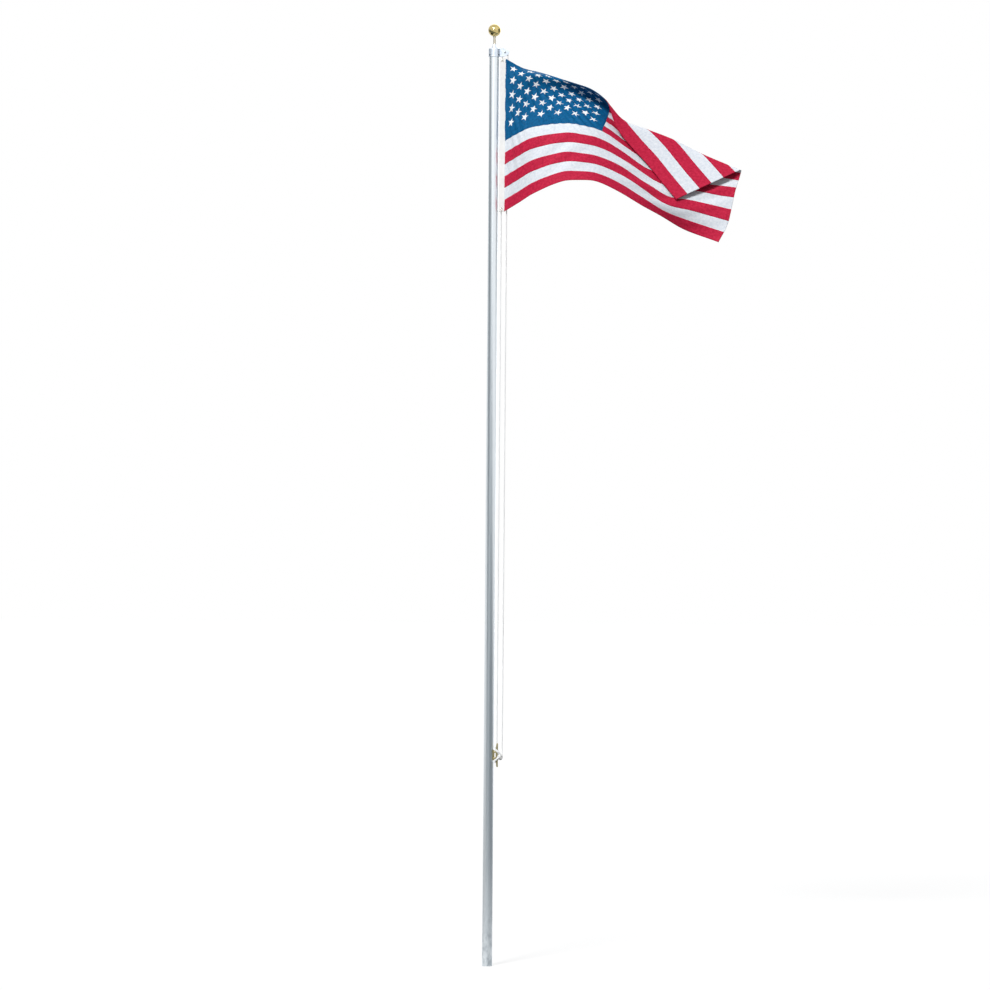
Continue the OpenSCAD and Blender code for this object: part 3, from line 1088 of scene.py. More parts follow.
@dataclass(frozen=True)
class Sheave:
    """The grooved wheel that the halyard runs over."""

    bore: float = 4.05
    pitch: float = SHEAVE_PITCH
    rim: float = 18.0
    half_width: float = 5.0
    groove: float = 3.5
    dish: Pair = (7.5, 14.0)
    dish_depth: float = 0.9
    dish_slope: float = 0.8
    edge_round: float = 0.35

    def build(self) -> Pieces:
        """Turn the wheel on the pin's axis.

        Returns:
            The wheel.
        """
        half, dished = self.half_width, self.half_width - self.dish_depth
        (hub, web), slope = self.dish, self.dish_slope
        groove = [(self.rim, -self.groove)]
        groove += [(self.pitch - z, x) for x, z in arc(self.groove, 180, 0, 12)]
        groove += [(self.rim, self.groove)]
        side = [(self.bore, half), (hub, half), (hub + slope, dished), (web, dished), (web + slope, half)]
        side += [(self.rim, half)]
        profile = mirrored(side[::-1]) + groove + side[::-1]
        mesh = soften(lathe(profile, 72, closed=True), self.edge_round)
        moved(mesh, shift(*middle_mm("sheave")), turn(90, "X"))
        return [make_piece("sheave_wheel", mesh, WHEEL_NYLON, Body.SHEAVE, ["sheave"])]


@dataclass(frozen=True)
class Finial:
    """The gold ball on its turned stem."""

    stem: float = 7.5
    flange: float = 1.0
    flange_height: float = 2.0
    collar: float = 9.5
    collar_height: float = 4.0
    collar_taper: float = 3.0
    collar_sunk: float = 2.0
    edge_round: float = 0.6
    ball: float = 38.0
    seam: float = 0.35
    seam_turn: float = 1.0

    def build(self) -> Pieces:
        """Turn the stem and the ball.

        Returns:
            The two pieces.
        """
        low, high = box_mm("finial_ball")
        rod = self.turned_stem(box_mm("truck")[1].z, low.z)
        shell = self.spun_ball(low.z, high.z)
        return [
            make_piece("turned_stem", rod, STEM_METAL_AND_GOLD_REFLECTION, Body.POLE, ["finial_stem"]),
            make_piece("gold_ball", shell, GOLD, Body.POLE, ["finial_ball"]),
        ]

    def turned_stem(self, bottom: float, top: float) -> Mesh:
        """Turn the stem with a flange at its foot and a collar under the ball.

        Args:
            bottom: height of the stem's foot in millimetres.
            top: height of the ball's underside.

        Returns:
            The stem's mesh.
        """
        wide, sunk = self.stem + self.flange, bottom - self.flange
        rim, neck = bottom + self.flange_height, bottom + 2 * self.flange_height
        under, head = top - self.collar_height, top + self.collar_sunk
        profile = [(0, sunk), (wide, sunk), (wide, rim), (self.stem, neck)]
        profile += [(self.stem, under - self.collar_taper), (self.collar, under)]
        profile += [(self.collar, head), (0, head)]
        return soften(lathe(profile, 64), self.edge_round)

    def spun_ball(self, bottom: float, top: float) -> Mesh:
        """Spin the ball from two halves that meet in a fine seam.

        Args:
            bottom: height of the flat under the ball in millimetres.
            top: height of the ball's crown.

        Returns:
            The ball's mesh.
        """
        centre = top - self.ball
        start = -math.degrees(math.acos(self.stem / self.ball))
        lower = [(r, centre + z) for r, z in arc(self.ball, start, -self.seam_turn, 32)]
        upper = [(r, centre + z) for r, z in arc(self.ball, self.seam_turn, 90.0, 36)]
        seam = [(self.ball - self.seam, centre)]
        return lathe([(0, bottom)] + lower + seam + upper, 128)


@dataclass(frozen=True)
class Cleat:
    """The cast horn cleat and its screws, in a frame turned about the pole."""

    height: float = 1260.0
    turned: float = -25.0
    pole: float = 30.15
    bar_out: float = 53.15
    half_length: float = 71.5
    middle: float = 7.0
    tip: float = 4.4
    taper: float = 1.3
    point: float = 0.3
    curve: float = 5.0
    bar_steps: int = 32
    leg_apart: float = 18.0
    leg_sunk: float = 0.6
    leg: tuple[float, ...] = (8.0, 6.6, 5.7, 5.6, 6.0, 6.6)
    pad_half_height: float = 31.0
    pad_turn: float = 38.0
    pad_thick: float = 5.0
    pad_slip: float = 0.05
    pad_round: float = 1.6
    screw: float = 3.2
    screw_inset: float = 1.6
    screw_dome: Profile = ((0.0, -1.0), (1.0, -1.0), (1.0, 0.4), (0.7, 1.3), (0.3, 1.6), (0.0, 1.6))

    def build(self) -> Pieces:
        """Cast the cleat and set its screws.

        Returns:
            The two pieces.
        """
        place = self.place()
        casting = gathered(self.bar(), self.leg_post(1), self.leg_post(-1), self.pad())
        moved(casting, place)
        screws = moved(self.screws(), place)
        return [
            make_piece("horn_cleat", casting, BRONZE, Body.POLE, ["cleat"]),
            make_piece("cleat_screws", screws, STEEL, Body.POLE),
        ]

    def place(self) -> Matrix:
        """Give the cleat's own frame: X out from the pole, Z up from the middle."""
        return shift(0, 0, self.height) @ turn(self.turned, "Z")

    def bar(self) -> Mesh:
        """Sweep the bar with its two tapered horns curving away from the pole.

        Returns:
            The bar's mesh.
        """
        path, radii = [], []
        for i in range(-self.bar_steps, self.bar_steps + 1):
            share = i / self.bar_steps
            swell = self.middle + (self.tip - self.middle) * abs(share) ** self.taper
            z = self.half_length * math.sin(share * math.pi / 2)
            nose = max(0.0, (abs(z) - self.half_length + swell) / swell)
            path.append(Vector((mm(self.bar_out + self.curve * share * share), 0.0, mm(z))))
            radii.append(mm(max(self.point, swell * math.sqrt(max(0.0, 1.0 - nose * nose)))))
        return sweep(path, radii, 24)

    def leg_post(self, side: int) -> Mesh:
        """Sweep one waisted leg from the pole to the bar.

        Args:
            side: 1 for the upper leg, -1 for the lower one.

        Returns:
            The leg's mesh.
        """
        foot, count = self.pole - self.leg_sunk, len(self.leg) - 1
        reach, z = self.bar_out - foot, mm(side * self.leg_apart)
        path = [Vector((mm(foot + reach * i / count), 0.0, z)) for i in range(count + 1)]
        return sweep(path, [mm(radius) for radius in self.leg], 24)

    def pad(self) -> Mesh:
        """Spin the foot pad round the pole's face.

        Returns:
            The pad's mesh.
        """
        mesh = bmesh.new()
        inner, outer = mm(self.pole + self.pad_slip), mm(self.pole + self.pad_thick)
        high = mm(self.pad_half_height)
        outline = ((inner, 0, -high), (outer, 0, -high), (outer, 0, high), (inner, 0, high))
        corners = [mesh.verts.new(corner) for corner in outline]
        edges = [mesh.edges.new(pair) for pair in zip(corners, corners[1:] + corners[:1])]
        half = math.radians(self.pad_turn / 2)
        bmesh.ops.rotate(mesh, matrix=Matrix.Rotation(-half, 3, "Z"), verts=corners)
        bmesh.ops.spin(
            mesh,
            geom=corners + edges,
            cent=(0, 0, 0),
            axis=(0, 0, 1),
            angle=2 * half,
            steps=12,
            use_merge=False,
        )
        bmesh.ops.holes_fill(mesh, edges=[edge for edge in mesh.edges if edge.is_boundary], sides=4)
        return soften(settle(mesh), self.pad_round, segments=3)

    def screws(self) -> Mesh:
        """Dome the two screw heads at the pad's ends.

        Returns:
            The heads' mesh.
        """
        profile = [(self.screw * wide, rise) for wide, rise in self.screw_dome]
        face = self.pole + self.pad_thick
        end = self.pad_half_height - self.screw - self.screw_inset
        heads = [moved(lathe(profile, 24), shift(face, 0, z), turn(90, "Y")) for z in (-end, end)]
        return gathered(*heads)


def smooth_path(points: Sequence[Vector], step: float, parts: int = 8) -> list[Vector]:
    """Draw a smooth line through points and share it out evenly.

    Args:
        points: the points it passes, in millimetres.
        step: the distance between the points it returns, in millimetres.
        parts: how many parts it is first drawn in from each point to the next.

    Returns:
        The line's points, in millimetres.
    """
    padded = [points[0] * 2 - points[1], *points, points[-1] * 2 - points[-2]]
    dense = []
    for a, b, c, d in zip(padded, padded[1:], padded[2:], padded[3:]):
        for i in range(parts):
            t = i / parts
            bend = (2 * a - 5 * b + 4 * c - d) * t**2 + (3 * b - a - 3 * c + d) * t**3
            dense.append(0.5 * (2 * b + (c - a) * t + bend))
    dense.append(points[-1])
    place = np.array(dense)
    walked = np.concatenate([[0.0], np.cumsum(np.linalg.norm(np.diff(place, axis=0), axis=1))])
    stops = np.linspace(0.0, walked[-1], max(2, round(walked[-1] / step)) + 1)
    axes = [np.interp(stops, walked, place[:, axis]) for axis in range(3)]
    return [Vector(point) for point in zip(*axes)]


@dataclass(frozen=True)
class Halyard:
    """The rope: up one fall, over the sheave, down the other and made fast on the cleat."""

    cleat: Cleat = field(default_factory=Cleat)
    diameter: float = ROPE_DIAMETER
    slip: float = ROPE_SLIP
    leg_wide: float = 12.0
    lead: float = 130.0
    lead_shares: Pair = (0.35, 0.7)
    turns: int = 2
    start: float = 50.0
    finish: float = 30.0
    hitch_step: float = 10.0
    hitch_room: float = 1.6
    crossing_rise: float = 5.6
    path_step: float = 2.0

    def build(self) -> Pieces:
        """Lay the rope along its whole round.

        Returns:
            The rope.
        """
        route = self.route()
        mesh = sweep([point / 1000.0 for point in route], [mm(self.diameter / 2)] * len(route), 16)
        nodes = ["halyard_over_sheave", "halyard_inner_fall", "halyard_outer_fall", "cleat_hitch"]
        return [make_piece("halyard", mesh, LINE, Body.POLE, nodes)]

    def hitch_point(self, angle: float) -> Vector:
        """Find a point of the figure of eight round the horns, in the cleat's frame.

        Args:
            angle: how far round the hitch it lies, in degrees.

        Returns:
            The point, in millimetres.
        """
        around = math.radians(angle)
        radius = self.cleat.middle + self.diameter / 2 + 2 * self.slip
        layer = (angle - self.start) / 360.0
        rise = self.crossing_rise * max(0.0, angle / 180.0 - 1.0) * max(0.0, math.cos(2 * around))
        reach = self.cleat.leg_apart + self.leg_wide / 2 + (self.hitch_room + layer) * self.diameter
        out = self.cleat.bar_out + radius * math.cos(2 * around) + rise
        return Vector((out, radius * math.sin(2 * around), -reach * math.sin(around)))

    def fall_point(self, x: float, z: float) -> Vector:
        """Find a point of a fall, in the cleat's frame."""
        return Vector(turn(-self.cleat.turned, "Z") @ Vector((x, 0.0, z)))

    def route(self) -> list[Vector]:
        """List the rope's points from the inner fall round to itself.

        Returns:
            The points, in millimetres.
        """
        wheel = middle_mm("sheave")
        inner, outer = wheel.x - SHEAVE_PITCH, wheel.x + SHEAVE_PITCH
        start, end = self.fall_point(inner, self.lead), self.fall_point(outer, self.lead)
        turn_in = self.fall_point(inner, self.lead / 2)
        last = self.finish + 360.0 * self.turns
        hitch = [self.hitch_point(angle) for angle in np.arange(self.start, last + 1, self.hitch_step)]
        leave = hitch[-1] + Vector((0.0, 2 * self.diameter, -self.diameter / 2))
        turn_up = Vector((end.x, end.y, leave.z + 2 * self.diameter))
        leads_in = [start, (start + turn_in) / 2, turn_in]
        leads_in += [turn_in.lerp(hitch[0], share) for share in self.lead_shares]
        leads_out = [leave, turn_up, turn_up.lerp(end, 0.5), end]
        made_fast = smooth_path(leads_in + hitch + leads_out, self.path_step)
        place = self.cleat.place()
        carried = [place @ (point / 1000.0) * 1000.0 for point in made_fast]
        over = [Vector((wheel.x + x, 0.0, wheel.z + z)) for x, z in arc(SHEAVE_PITCH, 0, 180, 24)]
        return carried + over + carried[:1]


@dataclass(frozen=True)
class Ripple:
    """A patch of small parallel wrinkles: its middle and its reach on the flat cloth, the wrinkles'
    wavelength, the way across them in degrees, and their height. Lengths are in millimetres.
    """

    u: float
    v: float
    reach_u: float
    reach_v: float
    wavelength: float
    heading: float
    height: float

    def rise(self, u: np.ndarray, v: np.ndarray) -> np.ndarray:
        """Find how far the wrinkles lift the cloth.

        Args:
            u: distances along the flat cloth in millimetres.
            v: distances down it.

        Returns:
            The lift in millimetres.
        """
        du, dv = u - self.u, v - self.v
        fade = np.exp(-((du / self.reach_u) ** 2) - (dv / self.reach_v) ** 2)
        way = math.radians(self.heading)
        across = du * math.cos(way) + dv * math.sin(way)
        return self.height * fade * np.sin(across * math.tau / self.wavelength)


def through(knots: Sequence[float], places: np.ndarray, where: np.ndarray) -> np.ndarray:
    """Follow a smooth line through places.

    Args:
        knots: how far along the line each place lies.
        places: one place for each knot, or one for each knot and each point that is asked for.
        where: how far along the line each point that is asked for lies.

    Returns:
        One place for each point that is asked for.
    """
    knots = np.array(knots, float)
    if places.ndim == 2:
        places = np.repeat(places[:, None], len(where), axis=1)
    rates = np.empty_like(places)
    rates[1:-1] = (places[2:] - places[:-2]) / (knots[2:] - knots[:-2])[:, None, None]
    rates[0] = (places[1] - places[0]) / (knots[1] - knots[0])
    rates[-1] = (places[-1] - places[-2]) / (knots[-1] - knots[-2])
    i = np.clip(np.searchsorted(knots, where, side="right") - 1, 0, len(knots) - 2)
    each = np.arange(len(where))
    span = (knots[i + 1] - knots[i])[:, None]
    t = (where - knots[i])[:, None] / span
    start = places[i, each] * (1 + 2 * t) * (1 - t) ** 2 + rates[i, each] * span * t * (1 - t) ** 2
    end = places[i + 1, each] * t * t * (3 - 2 * t) + rates[i + 1, each] * span * t * t * (t - 1)
    return start + end


@dataclass(frozen=True)
class FlyingShape:
    """The cloth's shape in the wind: guide lines along it and a corner folded over its front.

    The guides lie at shares of the way from the top edge, or the ridge of the fold, down to the
    bottom edge. A guide has a place for each stop along the flat cloth, counted from the hoist's
    top corner: out along the fly, back from the heading's plane, and down, in millimetres.
    """

    hoist: Triple = (66.3, -18.0, 5417.0)
    length: float = FLAG_FLY
    height: float = FLAG_HOIST
    fold_start: float = 690.0
    fold_drop: float = 400.0
    fold_radius: float = 12.0
    lean: float = 70.0
    flap_up: Triple = (0.67, 0.17, 0.72)
    shares: tuple[float, ...] = (0.0, 0.12, 0.2, 0.37, 0.54, 0.78, 1.0)
    stops: tuple[float, ...] = (0, 116, 232, 460, 575, 690, 836, 1000, 1141, 1300, 1524)
    ridge: Guide = (
        (0, 0, 0),
        (103, 30, 54),
        (212, 45, 80),
        (430, -20, 151),
        (515, -38, 183),
        (594, -38, 240),
        (704, 0, 357),
        (850, 25, 412),
        (1003, 40, 468),
        (1180, 45, 554),
        (1420, 48, 652),
    )
    brow: Guide = (
        (0, 0, 110),
        (98, -40, 98),
        (203, -25, 106),
        (420, 38, 170),
        (518, 38, 204),
        (614, 38, 262),
        (736, 75, 394),
        (860, 80, 450),
        (1006, 82, 514),
        (1178, 80, 596),
        (1408, 68, 694),
    )
    pocket: Guide = (
        (0, 0, 183),
        (92, -35, 165),
        (190, 10, 153),
        (407, 98, 206),
        (514, 102, 240),
        (625, 100, 297),
        (742, 105, 418),
        (864, 94, 484),
        (1005, 86, 548),
        (1172, 76, 626),
        (1400, 60, 720),
    )
    shelf: Guide = (
        (0, 0, 338),
        (82, -50, 306),
        (177, -45, 288),
        (382, -28, 282),
        (493, -20, 316),
        (604, -5, 366),
        (724, 38, 472),
        (862, 55, 565),
        (1002, 55, 625),
        (1163, 52, 698),
        (1381, 45, 776),
    )
    seam: Guide = (
        (0, 0, 494),
        (73, -68, 455),
        (160, -112, 418),
        (366, -122, 394),
        (472, -118, 408),
        (578, -95, 437),
        (713, -35, 538),
        (857, 5, 652),
        (991, 25, 722),
        (1147, 35, 775),
        (1363, 40, 861),
    )
    fall: Guide = (
        (0, 0, 713),
        (79, -80, 669),
        (164, -140, 623),
        (352, -175, 575),
        (458, -168, 580),
        (566, -148, 600),
        (702, -105, 668),
        (846, -60, 770),
        (967, -25, 856),
        (1120, 0, 903),
        (1333, 25, 985),
    )
    bottom: Guide = (
        (0, 0, 914),
        (86, -90, 866),
        (172, -160, 814),
        (340, -212, 744),
        (441, -208, 735),
        (544, -192, 741),
        (675, -142, 796),
        (816, -80, 874),
        (940, 0, 936),
        (1076, 55, 1010),
        (1280, 10, 1086),
    )

    def along(self, guide: Guide, u: np.ndarray) -> np.ndarray:
        """Follow a guide line smoothly through its points.

        Args:
            guide: the guide's points.
            u: distances along the flat cloth.

        Returns:
            A place for each distance, in the frame's axes and millimetres.
        """
        places = np.array(guide, float) * (1.0, 1.0, -1.0) + self.hoist
        return through(self.stops, places, u)

    def point(self, u: np.ndarray, v: np.ndarray) -> np.ndarray:
        """Find places on the flying cloth.

        Args:
            u: distances along the flat cloth from the hoist.
            v: distances down it from the top edge.

        Returns:
            One place for each pair, in millimetres.
        """
        slant = math.atan2(self.fold_drop, self.length - self.fold_start)
        crease = np.maximum(0.0, (u - self.fold_start) * math.tan(slant))
        past = (crease - v) * math.cos(slant)
        share = np.maximum(0.0, v - crease) / (self.height - crease)
        guides = (self.ridge, self.brow, self.pocket, self.shelf, self.seam, self.fall, self.bottom)
        flying = through(self.shares, np.array([self.along(guide, u) for guide in guides]), share)
        return np.where((past > 0)[:, None], self.flap(u, past, slant), flying)

    def flap(self, u: np.ndarray, past: np.ndarray, slant: float) -> np.ndarray:
        """Find places on the corner that rolls over the ridge and hangs in front.

        Args:
            u: distances along the flat cloth.
            past: distances past the ridge, square to it.
            slant: the ridge's slope on the flat cloth.

        Returns:
            One place for each pair, in millimetres.
        """
        up = np.array(self.flap_up) / np.linalg.norm(self.flap_up)
        front = np.array((0.0, -1.0, 0.0)) + up[1] * up
        front /= np.linalg.norm(front)
        ridge = self.along(self.ridge, np.maximum(0.0, u - past * math.sin(slant)))
        lean = math.radians(self.lean)
        roll = self.fold_radius * (math.pi - lean)
        bend = lean + np.clip(past, 0.0, roll) / self.fold_radius
        rise = self.fold_radius * (np.sin(bend) - math.sin(lean)) - np.maximum(0.0, past - roll)
        forward = self.fold_radius * (math.cos(lean) - np.cos(bend))
        return ridge + rise[:, None] * up + forward[:, None] * front


@dataclass
class FlyingCloth:
    """A fine net over the flying cloth, from which its pieces are cut."""

    shape: FlyingShape
    ripples: Sequence[Ripple]
    mesh_size: float = 7.8
    rounds: int = 300
    hold: float = 0.08
    hold_depth: float = 0.003
    bend: float = 0.1
    slant_pull: float = 0.3

    def __post_init__(self) -> None:
        """Lay the net on the shape and let it find its true lengths."""
        across = round(self.shape.length / self.mesh_size)
        down = round(self.shape.height / self.mesh_size)
        self.u = np.linspace(0.0, self.shape.length, across + 1)
        self.v = np.linspace(0.0, self.shape.height, down + 1)
        u, v = (grid.ravel() for grid in np.meshgrid(self.u, self.v, indexing="ij"))
        self.places = self.shape.point(u, v).reshape(across + 1, down + 1, 3)
        self.relax()

    def relax(self) -> None:
        """Shrink the net until none of its threads is longer than it was cut.

        The net is held near its outline as it is seen from the front, its depth is nearly free,
        and its hoist stays on the heading.
        """
        places, goal = self.places, self.places.copy()
        wide, deep = self.u[1], self.v[1]
        slant = math.hypot(wide, deep)
        hold = np.array((self.hold, self.hold_depth, self.hold))
        for _ in range(self.rounds):
            for start in (0, 1):
                self.pull(places[start:-1:2], places[start + 1 :: 2], wide, 1.0)
                self.pull(places[:, start:-1:2], places[:, start + 1 :: 2], deep, 1.0)
                self.pull(places[start:-1:2, :-1], places[start + 1 :: 2, 1:], slant, self.slant_pull)
                self.pull(places[start:-1:2, 1:], places[start + 1 :: 2, :-1], slant, self.slant_pull)
            sag = np.zeros_like(places)
            sag[1:-1] += places[2:] + places[:-2] - 2 * places[1:-1]
            sag[:, 1:-1] += places[:, 2:] + places[:, :-2] - 2 * places[:, 1:-1]
            places += self.bend * sag
            places += hold * (goal - places)
            places[0] = goal[0]

    def pull(self, near: np.ndarray, far: np.ndarray, length: float, strength: float) -> None:
        """Bring pairs of knots that are too far apart to their distance on the flat cloth.

        Args:
            near: the first knot of each pair, which is moved.
            far: the second knot of each pair, which is moved.
            length: the most distance they can have.
            strength: the share of the error that is taken away.
        """
        apart = far - near
        now = np.linalg.norm(apart, axis=-1, keepdims=True)
        step = strength * 0.5 * np.maximum(now - length, 0.0) / np.maximum(now, 1e-9) * apart
        near += step
        far -= step

    def normals(self) -> np.ndarray:
        """Find the net's normals, which point to the front where the cloth isn't folded.

        Returns:
            A unit vector for each knot of the net.
        """
        across = np.gradient(self.places, axis=0)
        down = np.gradient(self.places, axis=1)
        normal = np.cross(down, across)
        return normal / np.maximum(np.linalg.norm(normal, axis=2, keepdims=True), 1e-9)

    def at(self, u: np.ndarray, v: np.ndarray, rise: np.ndarray | float = 0.0) -> np.ndarray:
        """Find places on the wrinkled cloth or just off it.

        Args:
            u: distances along the flat cloth in millimetres.
            v: distances down it.
            rise: heights off the cloth towards its front.

        Returns:
            One place for each pair, in metres.
        """
        lift = rise + sum(ripple.rise(u, v) for ripple in self.ripples)
        place = self.between(self.places, u, v) + self.between(self.normals(), u, v) * lift[:, None]
        return place / 1000.0

    def between(self, grid: np.ndarray, u: np.ndarray, v: np.ndarray) -> np.ndarray:
        """Read a net of vectors between its knots.

        Args:
            grid: the vectors at the knots.
            u: distances along the flat cloth.
            v: distances down it.

        Returns:
            One vector for each pair.
        """
        s = np.clip(u / self.u[1], 0.0, len(self.u) - 1.001)
        t = np.clip(v / self.v[1], 0.0, len(self.v) - 1.001)
        i, j = s.astype(int), t.astype(int)
        p, q = (s - i)[:, None], (t - j)[:, None]
        near = grid[i, j] * (1 - q) + grid[i, j + 1] * q
        far = grid[i + 1, j] * (1 - q) + grid[i + 1, j + 1] * q
        return near * (1 - p) + far * p


def flat_grid(across: Pair, down: Pair, size: float) -> tuple[Mesh, np.ndarray, np.ndarray]:
    """Draw a grid over a piece of flat cloth.

    Args:
        across: where it starts and ends along the cloth, in millimetres.
        down: where it starts and ends down the cloth.
        size: the width of its faces.

    Returns:
        The grid's mesh, and how far along and how far down the cloth each of its points lies.
    """
    mesh = bmesh.new()
    columns, rows = (round((end - start) / size) for start, end in (across, down))
    bmesh.ops.create_grid(mesh, x_segments=columns, y_segments=rows, size=0.5)
    spots = np.array([vert.co[:2] for vert in mesh.verts]) + 0.5
    u = across[0] + spots[:, 0] * (across[1] - across[0])
    v = down[1] - spots[:, 1] * (down[1] - down[0])
    return mesh, u, v


def lay(mesh: Mesh, u: np.ndarray, v: np.ndarray, places: np.ndarray) -> Mesh:
    """Lay a mesh in its places and keep its flat coordinates.

    Args:
        mesh: the mesh to lay.
        u: how far along the flat cloth each of its points lies, in millimetres.
        v: how far down it each lies.
        places: where each goes, in metres.

    Returns:
        The same mesh.
    """
    flat = mesh.loops.layers.uv.new(FLAT_MAP)
    mesh.verts.index_update()
    for face in mesh.faces:
        for loop in face.loops:
            loop[flat].uv = (mm(u[loop.vert.index]), mm(v[loop.vert.index]))
    for vert, place in zip(mesh.verts, places):
        vert.co = place
    return mesh


def thicken(piece: Piece, thick: float, group: str = "") -> None:
    """Thicken a laid piece to both its sides.

    Args:
        piece: the piece, one face thick.
        thick: its thickness in millimetres.
        group: the vertex group that scales the thickness, where it has one.
    """
    wall = piece.modifiers.new("cloth", "SOLIDIFY")
    wall.thickness = mm(thick)
    wall.offset = 0.0
    wall.vertex_group = group


class Dye(Enum):
    """The flag's three cloths: finish, record slot and finished thickness in millimetres."""

    RED = (RED_NYLON, "flag_red", 1.0)
    WHITE = (WHITE_NYLON, "flag_white", 0.6)
    BLUE = (BLUE_NYLON, "flag_blue", 1.2)


@dataclass(frozen=True)
class Flag:
    """The sewn flag: striped panels and a canton with stars on both its faces."""

    shape: FlyingShape = field(default_factory=FlyingShape)
    seam_under: float = 6.0
    hem: float = 14.0
    hem_ratio: float = 0.55
    mesh_size: float = 4.5
    star_rows: int = 9
    star_columns: int = 11
    star_first: Pair = (56.0, 54.0)
    star_pitch: Pair = (56.3, 43.4)
    star_radius: float = 28.0
    star_waist: float = 0.382
    star_base: float = 0.3
    star_rise: float = 0.9
    star_wall: float = 0.6
    star_crown: float = 0.4
    star_slope: float = 0.09
    ripples: tuple[Ripple, ...] = (
        Ripple(140, 290, 130, 190, 46, -20, 5.2),
        Ripple(340, 370, 120, 140, 50, -28, 6.0),
        Ripple(550, 410, 120, 110, 42, -40, 4.6),
        Ripple(240, 200, 160, 120, 33, -32, 2.2),
        Ripple(470, 300, 160, 120, 36, -45, 2.4),
        Ripple(90, 620, 90, 170, 60, -10, 2.4),
        Ripple(420, 700, 220, 160, 110, 55, 3.0),
        Ripple(1000, 700, 260, 140, 120, 65, 3.5),
        Ripple(1300, 640, 200, 160, 90, 60, 3.0),
    )

    def build(self) -> Pieces:
        """Sew the flag's panels and stars.

        Returns:
            The finished pieces.
        """
        cloth = FlyingCloth(self.shape, self.ripples)
        pieces = []
        for number in range(1, STRIPES + 1):
            dye = Dye.RED if number % 2 else Dye.WHITE
            start = CANTON_WIDTH if number <= CANTON_STRIPES else 0.0
            name = f"{dye.name.lower()}_stripe_{number:02d}"
            corner, bottom = (start, (number - 1) * STRIPE_DEPTH), number * STRIPE_DEPTH
            pieces.append(self.panel(cloth, name, dye, corner, bottom, f"stripe_{number:02d}"))
        canton_depth = CANTON_STRIPES * STRIPE_DEPTH
        pieces.append(self.panel(cloth, "blue_canton", Dye.BLUE, (0.0, 0.0), canton_depth, "canton"))
        return pieces + self.stars(cloth)

    def panel(
        self, cloth: FlyingCloth, name: str, dye: Dye, corner: Pair, bottom: float, node: str
    ) -> Piece:
        """Cut one panel from the cloth, with its seam allowance under the neighbours.

        Args:
            cloth: the net that it is cut from.
            name: the piece's name.
            dye: which cloth it is.
            corner: flat place of its top corner at the hoist end.
            bottom: flat place of its lower edge.
            node: the frame's node that it stands for.

        Returns:
            The finished panel.
        """
        finish, slot, thick = dye.value
        under = self.seam_under
        left, top = corner
        right = CANTON_WIDTH if dye is Dye.BLUE else self.shape.length
        if left > 0:
            left -= under
        if dye is Dye.WHITE:
            top, bottom = max(0.0, top - under), min(self.shape.height, bottom + under)
        mesh, u, v = flat_grid((left, right), (top, bottom), self.mesh_size)
        lay(mesh, u, v, cloth.at(u, v))
        piece = make_piece(name, mesh, finish, Body.FLAG, [node], sharp=180.0)
        self.hem_panel(piece, thick)
        return piece

    def hem_panel(self, piece: Piece, thick: float) -> None:
        """Give a panel its thickness, and nearly twice that along the flag's hems.

        Args:
            piece: the panel.
            thick: its thickness in millimetres.
        """
        group = piece.vertex_groups.new(name="hem")
        flat = piece.data.uv_layers[FLAT_MAP].uv
        for loop in piece.data.loops:
            u, v = (1000.0 * share for share in flat[loop.index].vector)
            edge = min(v, self.shape.height - v, self.shape.length - u)
            group.add([loop.vertex_index], 1.0 if edge < self.hem else self.hem_ratio, "REPLACE")
        thicken(piece, thick / self.hem_ratio, group.name)

    def stars(self, cloth: FlyingCloth) -> Pieces:
        """Sew the stars to both faces of the canton.

        Args:
            cloth: the net that they lie on.

        Returns:
            One piece for each face.
        """
        spots = []
        for row in range(self.star_rows):
            for column in range(row % 2, self.star_columns, 2):
                across = self.star_first[0] + column * self.star_pitch[0]
                spots.append((across, self.star_first[1] + row * self.star_pitch[1]))
        pieces = []
        for name, side in (("front_stars", 1), ("back_stars", -1)):
            mesh = gathered(*[self.star(cloth, spot, side) for spot in spots])
            bmesh.ops.recalc_face_normals(mesh, faces=mesh.faces)
            pieces.append(make_piece(name, mesh, STAR_THREAD, Body.FLAG))
        return pieces

    def star(self, cloth: FlyingCloth, spot: Pair, side: int) -> Mesh:
        """Raise one star and lay it on the cloth.

        Args:
            cloth: the net that it lies on.
            spot: the star's centre on the flat cloth.
            side: 1 for the front, -1 for the back.

        Returns:
            The star's closed mesh.
        """
        mesh = bmesh.new()
        made = bmesh.ops.create_circle(mesh, cap_ends=True, cap_tris=True, radius=1.0, segments=10)["verts"]
        bmesh.ops.rotate(mesh, matrix=Matrix.Rotation(math.radians(90), 3, "Z"), verts=made)
        ring = [vert for vert in made if vert.co.length > 0.5]
        points = sorted(ring, key=lambda vert: math.atan2(vert.co.y, vert.co.x))
        tip = max(range(len(points)), key=lambda i: points[i].co.y)
        waists = [vert for i, vert in enumerate(points) if (i - tip) % 2]
        bmesh.ops.scale(mesh, vec=(self.star_waist,) * 3, verts=waists)
        bmesh.ops.subdivide_edges(mesh, edges=mesh.edges[:], cuts=3, use_grid_fill=True)
        made = bmesh.ops.extrude_face_region(mesh, geom=mesh.faces[:])["geom"]
        raised = only(bmesh.types.BMVert, made)
        bmesh.ops.translate(mesh, vec=(0.0, 0.0, self.star_wall), verts=raised)
        bmesh.ops.inset_region(
            mesh,
            faces=only(bmesh.types.BMFace, made),
            thickness=self.star_slope,
            depth=self.star_crown,
            use_even_offset=True,
        )
        spots = np.array([vert.co for vert in mesh.verts])
        u = spot[0] + spots[:, 0] * self.star_radius
        v = spot[1] - spots[:, 1] * self.star_radius
        rise = side * (self.star_base + spots[:, 2] * self.star_rise)
        return lay(mesh, u, v, cloth.at(u, v, rise))


